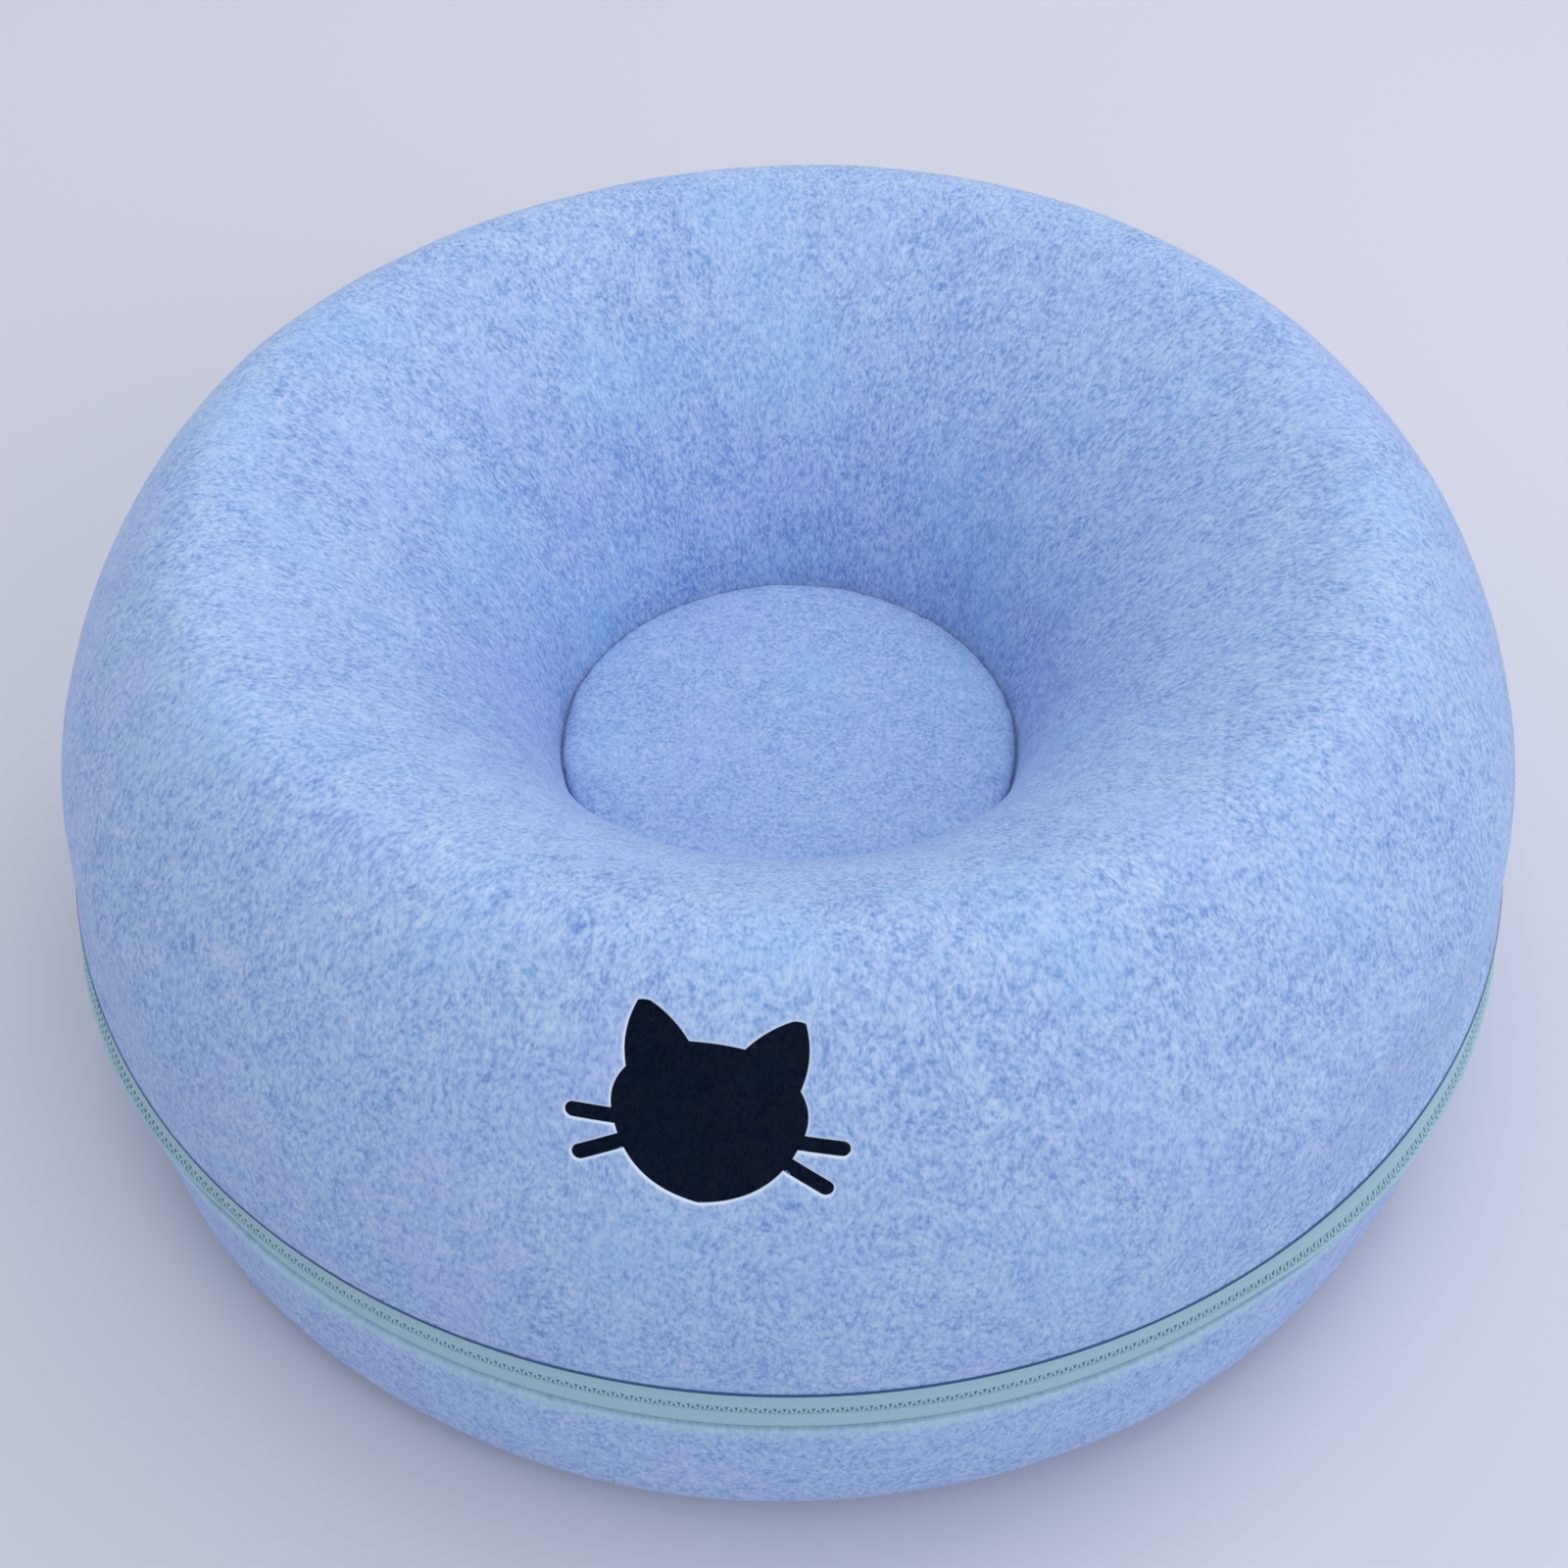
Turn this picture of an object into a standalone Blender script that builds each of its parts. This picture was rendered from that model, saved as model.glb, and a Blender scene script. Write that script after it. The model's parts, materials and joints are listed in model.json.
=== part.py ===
"""Cat cave bed: a ring tunnel of moulded felt in two halves that zip together.

The upper half has a padded well in its middle and tips back on a tab behind.
Metres, +Z up. The origin is on the floor under the centre, the front is -Y.
"""
import math

import bmesh
import bpy
from mathutils import Matrix, Vector

# Felt sheet, and the clearance between pieces that touch
FELT = 0.004
GAP = 0.0003

# Lower half, the tray: its outer wall, its foot and the hump inside the ring
TRAY_RIM_RADIUS = 0.294
TRAY_RIM_HEIGHT = 0.079
FOOT_OUTER_RADIUS = 0.240
FOOT_INNER_RADIUS = 0.196
HUMP_FILLET = 0.012
HUMP_LEDGE = 0.0015
TRAY_WALL_SHARE = 0.97
TRAY_SOLE_SHARE = 0.93
HUMP_SOLE_SHARE = 0.49
HUMP_WALL_SHARE = 0.58

# Upper half, the lid: rim, bulge, crest and well
ZIP_BAND = 0.027
LID_RIM_HEIGHT = TRAY_RIM_HEIGHT + ZIP_BAND
LID_RIM_RADIUS = TRAY_RIM_RADIUS
BULGE_OUT = 0.0045
BULGE_RISE = 0.010
CREST_RADIUS = 0.220
CREST_HEIGHT = 0.260
WELL_RADIUS = 0.0965
WELL_FLOOR_HEIGHT = 0.115
WELL_WALL = 0.010
WELL_FILLET = 0.008
WELL_LEAN_OUT = 0.016
BULGE_UP_SHARE = 0.52
CREST_OUT_SHARE = 0.33
CREST_IN_SHARE = 0.10
WELL_UP_SHARE = 0.58

# Entrance in the back wall, as seen straight on
ENTRANCE_WIDTH = 0.150
ENTRANCE_HEIGHT_SHARE = 0.83
ENTRANCE_RISE = 0.012
ENTRANCE_INSIDE_SHARE = 0.06

# Peephole in the front wall: a cat's head with two slots for whiskers on each side
PEEPHOLE_RISE_SHARE = 0.760
PEEPHOLE_ROLL = math.radians(-4.0)
HEAD_WIDTH = 0.0604
WHISKER_THICKNESS = 0.005

# Right half of the face in half head widths: chin, cheek, ear root, ear tip, ear root, brow
HEAD_CORNER_SHARES = ((0, -0.993), (1, -0.10), (0.90, 0.373), (0.864, 1.06), (0.74, 1.07),
                      (0.29, 0.728), (0, 0.742))
HEAD_BOW_SHARES = (0.165, 0.12, 0.09, 0.05, 0.06, 0.01)
WHISKER_SHARES = (((0.96, -0.17), (1.483, -0.187)), ((0.93, -0.455), (1.358, -0.675)))

# Zip: woven tapes inside the rims, a nylon coil on each tape, and the fixed end behind
CHAIN_RISE = 0.0096
CHAIN_GAP = 0.0012
COIL_WIDTH = 0.0026
COIL_THICKNESS = 0.0024
COIL_SHOULDER_SHARE = 0.75
TAPE_THICKNESS = 0.0008
TAPE_INSET = 0.0010
TAPE_LAP_LID = 0.0092
TAPE_LAP_TRAY = 0.018
TAPE_BEND_RISE = 0.001
CLOSED_END_WIDTH = 0.130

# Tab sewn over the two ends of the zip; it is the hinge of the lid
TAB_WIDTH = 0.046
TAB_THICKNESS = 0.0012
TAB_LAP_LID = 0.006
TAB_LAP_TRAY = 0.014

# Zip slider, parked on the closed end beside the tab, and its pull
SLIDER_LENGTH = 0.013
SLIDER_PLATE = 0.0012
SLIDER_FLANGE = 0.0012
SLIDER_POST_SHARE = 0.46
SLIDER_INNER_CLEARANCE = 0.0006
SLIDER_EDGE = 0.0003
SLIDER_PARK_INSET = 0.020
BRIDGE_LENGTH_SHARE = 0.77
BRIDGE_WIDTH = 0.002
BRIDGE_LEG = 0.0016
BRIDGE_BAR = 0.0012
PULL_LENGTH = 0.026
PULL_WIDTH = 0.007
PULL_THICKNESS = 0.0014
PULL_CLEARANCE = 0.0004
PULL_END_CLEARANCE = 0.0012

# Loose round pad in the well
PAD_CLEARANCE = 0.0035
PAD_THICKNESS = 0.011
PAD_CROWN = 0.0016
PAD_DRAW_IN = 0.0045
PAD_CROWN_SHARES = (0.35, 0.70)

# Facets of turned pieces, points of each curve, and how far cutters reach past a face
SHELL_STEPS = 48
RING_STEPS = 96
CURVE_POINTS = 7
FILLET_POINTS = 3
PAD_EDGE_POINTS = 3
HEAD_STRETCH_POINTS = (6, 3, 4, 1, 4, 1)
WHISKER_END_POINTS = 5
ENTRANCE_SIDES = 32
PULL_BAR_SIDES = 12
OVERRUN = 0.02
MERGE = 0.00001
SHARP_ANGLE = math.radians(35)

BULGE_RADIUS = LID_RIM_RADIUS + BULGE_OUT
BULGE_HEIGHT = LID_RIM_HEIGHT + BULGE_RISE
HUMP_RADIUS = WELL_RADIUS + FELT + HUMP_LEDGE
PLATEAU_HEIGHT = WELL_FLOOR_HEIGHT - 2 * FELT - GAP
CHAIN_HEIGHT = TRAY_RIM_HEIGHT + CHAIN_RISE
TAPE_OUTER = LID_RIM_RADIUS - FELT - TAPE_INSET
TAPE_INNER = TAPE_OUTER - TAPE_THICKNESS
COIL_INNER = TAPE_OUTER + GAP
COIL_OUTER = COIL_INNER + COIL_THICKNESS
HINGE_RADIUS = LID_RIM_RADIUS + GAP + TAB_THICKNESS
HINGE_HEIGHT = TRAY_RIM_HEIGHT + ZIP_BAND / 2
PLATE_INNER = COIL_OUTER + GAP
PLATE_OUTER = PLATE_INNER + SLIDER_PLATE
SLIDER_HEIGHT = CHAIN_GAP + 2 * (COIL_WIDTH + GAP + SLIDER_FLANGE)
BRIDGE_LENGTH = BRIDGE_LENGTH_SHARE * SLIDER_LENGTH
BRIDGE_WINDOW = PULL_THICKNESS + 2 * PULL_CLEARANCE
PULL_AXIS_RADIUS = PLATE_OUTER + BRIDGE_WINDOW / 2
SLIDER_PARK = CLOSED_END_WIDTH / 2 - SLIDER_PARK_INSET
PAD_RADIUS = WELL_RADIUS - PAD_CLEARANCE
PEEPHOLE_HEIGHT = LID_RIM_HEIGHT + PEEPHOLE_RISE_SHARE * (CREST_HEIGHT - LID_RIM_HEIGHT)
ENTRANCE_HEIGHT = ENTRANCE_HEIGHT_SHARE * (CREST_HEIGHT - LID_RIM_HEIGHT)
ENTRANCE_INSIDE = CREST_RADIUS + ENTRANCE_INSIDE_SHARE * (BULGE_RADIUS - CREST_RADIUS)


def clear_scene():
    """Remove whatever the scene holds."""
    for obj in list(bpy.data.objects):
        bpy.data.objects.remove(obj)


def new_collection(name):
    """Add a collection to the scene."""
    collection = bpy.data.collections.new(name)
    bpy.context.scene.collection.children.link(collection)
    return collection


def new_material(name, colour, roughness, metallic=0.0):
    """A plain Principled material."""
    material = bpy.data.materials.new(name)
    material.use_nodes = True
    shader = material.node_tree.nodes["Principled BSDF"]
    shader.inputs["Base Color"].default_value = (*colour, 1.0)
    shader.inputs["Roughness"].default_value = roughness
    shader.inputs["Metallic"].default_value = metallic
    return material


def add_object(name, mesh, collection, material=None):
    """Link a mesh as an object."""
    obj = bpy.data.objects.new(name, mesh)
    collection.objects.link(obj)
    if material:
        mesh.materials.append(material)
    return obj


def as_cutter(obj):
    """Hide an object that only cuts or joins others."""
    obj.hide_render = True
    obj.display_type = 'WIRE'
    return obj


def curve_points(start, start_handle, end_handle, end, count=CURVE_POINTS):
    """Points along a Bezier curve, without its first."""
    corners = [Vector(corner) for corner in (start, start_handle, end_handle, end)]
    points = []
    for step in range(1, count + 1):
        t = step / count
        weights = ((1 - t) ** 3, 3 * (1 - t) ** 2 * t, 3 * (1 - t) * t ** 2, t ** 3)
        point = sum((weight * corner for weight, corner in zip(weights, corners)), Vector((0, 0)))
        points.append(tuple(point))
    return points


def arc_points(centre, radius, first_angle, last_angle, count):
    """Points along an arc, without its first."""
    points = []
    for step in range(1, count + 1):
        angle = first_angle + (last_angle - first_angle) * step / count
        points.append((centre[0] + radius * math.cos(angle), centre[1] + radius * math.sin(angle)))
    return points


def turned(name, profile, steps, closed, collection, material=None):
    """Turn a profile of (radius, height) points round Z."""
    mesh = bpy.data.meshes.new(name)
    edges = [(i, i + 1) for i in range(len(profile) - 1)]
    if closed:
        edges.append((len(profile) - 1, 0))
    mesh.from_pydata([(radius, 0, height) for radius, height in profile], edges, [])
    obj = add_object(name, mesh, collection, material)
    screw = obj.modifiers.new("turn", 'SCREW')
    screw.angle = 2 * math.pi
    screw.steps = steps
    screw.render_steps = steps
    screw.use_merge_vertices = True
    screw.merge_threshold = MERGE
    screw.use_smooth_shade = True
    return obj


def felt_sheet(obj):
    """Give a turned surface the thickness of the felt, inwards."""
    solidify = obj.modifiers.new("felt", 'SOLIDIFY')
    solidify.thickness = FELT
    solidify.offset = -1
    solidify.use_even_offset = True
    return obj


def boolean(obj, other, operation):
    """Cut, keep or join with another object."""
    modifier = obj.modifiers.new(f"{operation.lower()}_{other.name}", 'BOOLEAN')
    modifier.operation = operation
    modifier.solver = 'EXACT'
    modifier.object = other
    return obj


def box(name, low, high, collection, material=None):
    """A box between two corners."""
    mesh = bpy.data.meshes.new(name)
    shape = bmesh.new()
    bmesh.ops.create_cube(shape, size=1)
    size = [h - l for l, h in zip(low, high)]
    middle = [(h + l) / 2 for l, h in zip(low, high)]
    bmesh.ops.transform(shape, matrix=Matrix.Diagonal((*size, 1)), verts=shape.verts)
    bmesh.ops.translate(shape, vec=middle, verts=shape.verts)
    shape.to_mesh(mesh)
    shape.free()
    return add_object(name, mesh, collection, material)


def prism(name, outline, half_depth, collection):
    """A flat outline made solid along its own Z, with welded caps."""
    curve = bpy.data.curves.new(name, 'CURVE')
    curve.dimensions = '2D'
    curve.fill_mode = 'BOTH'
    curve.extrude = half_depth
    spline = curve.splines.new('POLY')
    spline.points.add(len(outline) - 1)
    for point, (x, y) in zip(spline.points, outline):
        point.co = (x, y, 0, 1)
    spline.use_cyclic_u = True
    drawn = bpy.data.objects.new(name, curve)
    collection.objects.link(drawn)
    evaluated = drawn.evaluated_get(bpy.context.evaluated_depsgraph_get())
    mesh = bpy.data.meshes.new_from_object(evaluated)
    shape = bmesh.new()
    shape.from_mesh(mesh)
    bmesh.ops.remove_doubles(shape, verts=shape.verts, dist=MERGE)
    bmesh.ops.recalc_face_normals(shape, faces=shape.faces)
    shape.to_mesh(mesh)
    shape.free()
    matrix = drawn.matrix_world.copy()
    bpy.data.objects.remove(drawn)
    obj = add_object(name, mesh, collection)
    obj.matrix_world = matrix
    return obj


def bevelled(obj, width):
    """Break the edges of a hard piece."""
    bevel = obj.modifiers.new("edges", 'BEVEL')
    bevel.width = width
    bevel.segments = 1
    bevel.limit_method = 'ANGLE'
    return obj


def pivot(name, location, collection, turn=0.0):
    """An empty on a joint's axis."""
    empty = bpy.data.objects.new(name, None)
    empty.location = location
    empty.rotation_euler = (0, 0, turn)
    collection.objects.link(empty)
    return empty


def carry(empty, *pieces):
    """Parent pieces to a pivot and leave them where they are."""
    matrix = Matrix.Translation(empty.location) @ empty.rotation_euler.to_matrix().to_4x4()
    for piece in pieces:
        piece.parent = empty
        piece.matrix_parent_inverse = matrix.inverted()


def lid_profile():
    """Outside of the lid from the middle of the well over the crest to the rim."""
    well_top = WELL_FLOOR_HEIGHT + WELL_WALL
    rise_in = CREST_HEIGHT - well_top
    rise_out = CREST_HEIGHT - BULGE_HEIGHT
    fillet_centre = (WELL_RADIUS - WELL_FILLET, WELL_FLOOR_HEIGHT + WELL_FILLET)
    profile = [(0, WELL_FLOOR_HEIGHT), (fillet_centre[0], WELL_FLOOR_HEIGHT)]
    profile += arc_points(fillet_centre, WELL_FILLET, -math.pi / 2, 0, FILLET_POINTS)
    profile.append((WELL_RADIUS, well_top))
    profile += curve_points((WELL_RADIUS, well_top),
                            (WELL_RADIUS + WELL_LEAN_OUT, well_top + WELL_UP_SHARE * rise_in),
                            (CREST_RADIUS - CREST_IN_SHARE * (CREST_RADIUS - WELL_RADIUS), CREST_HEIGHT),
                            (CREST_RADIUS, CREST_HEIGHT))
    profile += curve_points((CREST_RADIUS, CREST_HEIGHT),
                            (CREST_RADIUS + CREST_OUT_SHARE * (BULGE_RADIUS - CREST_RADIUS), CREST_HEIGHT),
                            (BULGE_RADIUS, BULGE_HEIGHT + BULGE_UP_SHARE * rise_out),
                            (BULGE_RADIUS, BULGE_HEIGHT))
    profile.append((LID_RIM_RADIUS, LID_RIM_HEIGHT))
    return profile


def tray_profile():
    """Outside of the tray from the rim under the foot to the middle of the hump."""
    fillet_centre = (HUMP_RADIUS - HUMP_FILLET, PLATEAU_HEIGHT - HUMP_FILLET)
    sole_run = TRAY_RIM_RADIUS - FOOT_OUTER_RADIUS
    hump_run = FOOT_INNER_RADIUS - HUMP_RADIUS
    profile = [(TRAY_RIM_RADIUS, TRAY_RIM_HEIGHT)]
    profile += curve_points(profile[0],
                            (TRAY_RIM_RADIUS, TRAY_RIM_HEIGHT * (1 - TRAY_WALL_SHARE)),
                            (FOOT_OUTER_RADIUS + TRAY_SOLE_SHARE * sole_run, 0),
                            (FOOT_OUTER_RADIUS, 0))
    profile.append((FOOT_INNER_RADIUS, 0))
    profile += curve_points(profile[-1],
                            (FOOT_INNER_RADIUS - HUMP_SOLE_SHARE * hump_run, 0),
                            (HUMP_RADIUS, fillet_centre[1] * (1 - HUMP_WALL_SHARE)),
                            (HUMP_RADIUS, fillet_centre[1]))
    profile += arc_points(fillet_centre, HUMP_FILLET, 0, math.pi / 2, FILLET_POINTS)
    profile.append((0, PLATEAU_HEIGHT))
    return profile


def pad_profile():
    """Crowned top and drawn-in sides of the pad, down its outer side."""
    bottom = WELL_FLOOR_HEIGHT + GAP
    top = bottom + PAD_THICKNESS
    half = PAD_THICKNESS / 2
    shoulder = PAD_RADIUS - PAD_DRAW_IN
    profile = [(0, top + PAD_CROWN)]
    for share in PAD_CROWN_SHARES:
        profile.append((shoulder * share, top + PAD_CROWN * (1 - share ** 2)))
    profile.append((shoulder, top))
    side = (PAD_RADIUS, bottom + half)
    profile += curve_points((shoulder, top), (PAD_RADIUS, top), side, side, PAD_EDGE_POINTS)
    seat = (shoulder, bottom)
    profile += curve_points(side, (PAD_RADIUS, bottom), seat, seat, PAD_EDGE_POINTS)
    profile.append((0, bottom))
    return profile


def lid_tape_profile():
    """Tape from the coil up behind the lid's rim, leaning out with the felt."""
    bottom = CHAIN_HEIGHT + CHAIN_GAP / 2
    bend = LID_RIM_HEIGHT + TAPE_BEND_RISE
    top = LID_RIM_HEIGHT + TAPE_LAP_LID
    lean = (top - bend) * BULGE_OUT / BULGE_RISE
    outer = [(TAPE_OUTER + lean, top), (TAPE_OUTER, bend), (TAPE_OUTER, bottom)]
    return outer + [(radius - TAPE_THICKNESS, height) for radius, height in reversed(outer)]


def tray_tape_profile():
    """Tape from the coil down behind the tray's rim."""
    top = CHAIN_HEIGHT - CHAIN_GAP / 2
    bottom = TRAY_RIM_HEIGHT - TAPE_LAP_TRAY
    return [(TAPE_OUTER, top), (TAPE_OUTER, bottom), (TAPE_INNER, bottom), (TAPE_INNER, top)]


def coil_profile(side):
    """Section of one coil; side is 1 for the lid's and -1 for the tray's."""
    near = CHAIN_HEIGHT + side * CHAIN_GAP / 2
    far = near + side * COIL_WIDTH
    top, bottom = max(near, far), min(near, far)
    shoulder = COIL_INNER + COIL_SHOULDER_SHARE * COIL_THICKNESS
    return [(COIL_INNER, top), (shoulder, top), (COIL_OUTER, (near + far) / 2),
            (shoulder, bottom), (COIL_INNER, bottom)]


def tab_profile():
    """Strip that lies on the outside of both rims."""
    inner = LID_RIM_RADIUS + GAP
    lean = TAB_LAP_LID * BULGE_OUT / BULGE_RISE
    outside = [(inner + TAB_THICKNESS + lean, LID_RIM_HEIGHT + TAB_LAP_LID),
               (inner + TAB_THICKNESS, LID_RIM_HEIGHT),
               (inner + TAB_THICKNESS, HINGE_HEIGHT),
               (inner + TAB_THICKNESS, TRAY_RIM_HEIGHT - TAB_LAP_TRAY)]
    return outside + [(radius - TAB_THICKNESS, height) for radius, height in reversed(outside)]


def surface_frame(height):
    """Point on the front of the lid at a height, with the surface's up and out directions."""
    profile = lid_profile()
    outer = profile[profile.index(max(profile, key=lambda point: point[1])):]
    for (r_a, z_a), (r_b, z_b) in zip(outer, outer[1:]):
        if z_b <= height <= z_a:
            share = (z_a - height) / (z_a - z_b)
            up = Vector((0, r_b - r_a, z_a - z_b)).normalized()
            return Vector((0, -(r_a + share * (r_b - r_a)), height)), up
    raise ValueError("the peephole lies off the front of the lid")


def bowed(start, end, bow_share, count):
    """Points along a shallow bow to the right of the way from start to end, without its first."""
    run = end - start
    side = Vector((run.y, -run.x)) * bow_share
    points = []
    for step in range(1, count + 1):
        t = step / count
        points.append(start + run * t + side * (4 * t * (1 - t)))
    return points


def head_outline():
    """Cat's head, up its right side and down its left."""
    corners = [Vector(corner) * HEAD_WIDTH / 2 for corner in HEAD_CORNER_SHARES]
    right = [corners[0]]
    for start, end, bow_share, count in zip(corners, corners[1:], HEAD_BOW_SHARES, HEAD_STRETCH_POINTS):
        right += bowed(start, end, bow_share, count)
    return right + mirrored(right[1:-1])


def whisker_outline(root_shares, tip_shares):
    """A slot with a round end at its tip, which starts inside the head."""
    root = Vector(root_shares) * HEAD_WIDTH / 2
    tip = Vector(tip_shares) * HEAD_WIDTH / 2
    along = (tip - root).normalized()
    half = WHISKER_THICKNESS / 2
    start = root - along * WHISKER_THICKNESS
    heading = math.atan2(along.y, along.x)
    centre = tip - along * half
    across = Vector((-along.y, along.x)) * half
    ends = arc_points(centre, half, heading - math.pi / 2, heading + math.pi / 2, WHISKER_END_POINTS)
    return [start + across, start - across, centre - across] + ends


def mirrored(outline):
    """The same outline on the other side of the face."""
    return [(-x, y) for x, y in reversed([tuple(point) for point in outline])]


def peephole_cutters(collection):
    """Prisms through the front wall, square to the felt."""
    point, up = surface_frame(PEEPHOLE_HEIGHT)
    across = Vector((1, 0, 0))
    out = across.cross(up)
    frame = Matrix((across, up, out)).transposed().to_4x4()
    place = Matrix.Translation(point) @ frame @ Matrix.Rotation(PEEPHOLE_ROLL, 4, 'Z')
    outlines = [head_outline()]
    for root_shares, tip_shares in WHISKER_SHARES:
        outlines.append(whisker_outline(root_shares, tip_shares))
        outlines.append(mirrored(outlines[-1]))
    cutters = []
    for number, outline in enumerate(outlines):
        cutter = as_cutter(prism(f"peephole_cutter_{number}", outline, OVERRUN, collection))
        cutter.matrix_world = place
        cutters.append(cutter)
    return cutters


def entrance_cutter(collection):
    """An oval bar through the back wall."""
    mesh = bpy.data.meshes.new("entrance_cutter")
    shape = bmesh.new()
    depth = BULGE_RADIUS + OVERRUN - ENTRANCE_INSIDE
    bmesh.ops.create_cone(shape, cap_ends=True, segments=ENTRANCE_SIDES, radius1=1 / 2, radius2=1 / 2,
                          depth=depth)
    oval = Matrix.Diagonal((ENTRANCE_WIDTH, ENTRANCE_HEIGHT, 1, 1))
    bmesh.ops.transform(shape, matrix=oval, verts=shape.verts)
    bmesh.ops.rotate(shape, matrix=Matrix.Rotation(-math.pi / 2, 3, 'X'), verts=shape.verts)
    middle = (0, ENTRANCE_INSIDE + depth / 2, LID_RIM_HEIGHT + ENTRANCE_RISE + ENTRANCE_HEIGHT / 2)
    bmesh.ops.translate(shape, vec=middle, verts=shape.verts)
    shape.to_mesh(mesh)
    shape.free()
    return as_cutter(add_object("entrance_cutter", mesh, collection))


def closed_end_box(name, width, collection):
    """A block over the back of the zip, where it stays closed."""
    half = width / 2
    back = HINGE_RADIUS + OVERRUN
    return as_cutter(box(name, (-half, 0, TRAY_RIM_HEIGHT - 2 * OVERRUN),
                         (half, back, LID_RIM_HEIGHT + 2 * OVERRUN), collection))


def slider_parts(collection, cutters, material):
    """Two plates on a thin post, flanges round the coils, and a bridge for the pull."""
    half = SLIDER_LENGTH / 2
    tall = SLIDER_HEIGHT / 2
    flange = tall - SLIDER_FLANGE
    inner_face = TAPE_INNER - SLIDER_INNER_CLEARANCE
    plate = box("slider_body", (-half, PLATE_INNER, -tall), (half, PLATE_OUTER, tall), collection, material)
    post_half = SLIDER_POST_SHARE * half
    web_half = CHAIN_GAP / 2 - GAP
    bar = PLATE_OUTER + BRIDGE_WINDOW
    leg_out = BRIDGE_LENGTH / 2
    leg_in = leg_out - BRIDGE_LEG
    strap = BRIDGE_WIDTH / 2
    sink = SLIDER_PLATE / 2
    additions = {
        "slider_inner_plate": ((-half, inner_face - SLIDER_PLATE, -tall), (half, inner_face, tall)),
        "slider_post": ((-post_half, inner_face - sink, -web_half),
                        (post_half, PLATE_INNER + sink, web_half)),
        "slider_flange_top": ((-half, COIL_INNER, flange), (half, PLATE_INNER + sink, tall)),
        "slider_flange_bottom": ((-half, COIL_INNER, -tall), (half, PLATE_INNER + sink, -flange)),
        "slider_leg_near": ((leg_in, PLATE_OUTER - sink, -strap), (leg_out, bar + sink, strap)),
        "slider_leg_far": ((-leg_out, PLATE_OUTER - sink, -strap), (-leg_in, bar + sink, strap)),
        "slider_bridge_bar": ((-leg_out, bar, -strap), (leg_out, bar + BRIDGE_BAR, strap)),
    }
    for name, (low, high) in additions.items():
        boolean(plate, as_cutter(box(name, low, high, cutters)), 'UNION')
    return bevelled(plate, SLIDER_EDGE)


def pull_part(collection, cutters, material):
    """A flat pull with a window, whose round end bar sits under the bridge."""
    half_width = PULL_WIDTH / 2
    half_thick = PULL_THICKNESS / 2
    window_half = BRIDGE_WIDTH / 2 + PULL_CLEARANCE
    window_end = BRIDGE_LENGTH / 2 + PULL_END_CLEARANCE
    pull = box("slider_pull", (0, -half_thick, -half_width), (PULL_LENGTH, half_thick, half_width),
               collection, material)
    window = as_cutter(box("pull_window", (half_thick / 2, -PULL_THICKNESS, -window_half),
                           (window_end, PULL_THICKNESS, window_half), cutters))
    mesh = bpy.data.meshes.new("pull_bar")
    shape = bmesh.new()
    bmesh.ops.create_cone(shape, cap_ends=True, segments=PULL_BAR_SIDES, radius1=half_thick,
                          radius2=half_thick, depth=PULL_WIDTH)
    shape.to_mesh(mesh)
    shape.free()
    bar = as_cutter(add_object("pull_bar", mesh, cutters))
    boolean(boolean(pull, window, 'DIFFERENCE'), bar, 'UNION')
    return pull, (window, bar)


def shade(obj):
    """Smooth shading with sharp edges where faces turn hard."""
    obj.data.shade_smooth()
    obj.data.set_sharp_from_angle(angle=SHARP_ANGLE)


def build_shells(parts, cutters, felt):
    """The two felt halves with their openings."""
    lid = felt_sheet(turned("lid_shell", lid_profile(), SHELL_STEPS, False, parts, felt))
    for cutter in [*peephole_cutters(cutters), entrance_cutter(cutters)]:
        boolean(lid, cutter, 'DIFFERENCE')
    tray = felt_sheet(turned("tray_shell", tray_profile(), SHELL_STEPS, False, parts, felt))
    return lid, tray


def build_zip(parts, cutters, tape_material, coil_material):
    """Tapes and coils: long runs on each half, and the stretch behind that stays closed."""
    long_cut = closed_end_box("closed_end_cut", CLOSED_END_WIDTH + GAP, cutters)
    end_keep = closed_end_box("closed_end_keep", CLOSED_END_WIDTH - GAP, cutters)
    rings = {}
    for name, profile, material in (("tape", lid_tape_profile(), tape_material),
                                    ("coil", coil_profile(1), coil_material)):
        long_run = turned(f"lid_{name}", profile, RING_STEPS, True, parts, material)
        closed_end = turned(f"lid_{name}_closed_end", profile, RING_STEPS, True, parts, material)
        rings[f"lid_{name}"] = boolean(long_run, long_cut, 'DIFFERENCE')
        rings[f"lid_{name}_closed_end"] = boolean(closed_end, end_keep, 'INTERSECT')
    rings["tray_tape"] = turned("tray_tape", tray_tape_profile(), RING_STEPS, True, parts, tape_material)
    rings["tray_coil"] = turned("tray_coil", coil_profile(-1), RING_STEPS, True, parts, coil_material)
    tab = turned("hinge_tab", tab_profile(), RING_STEPS, True, parts, tape_material)
    rings["hinge_tab"] = boolean(tab, closed_end_box("tab_keep", TAB_WIDTH, cutters), 'INTERSECT')
    return rings


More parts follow.
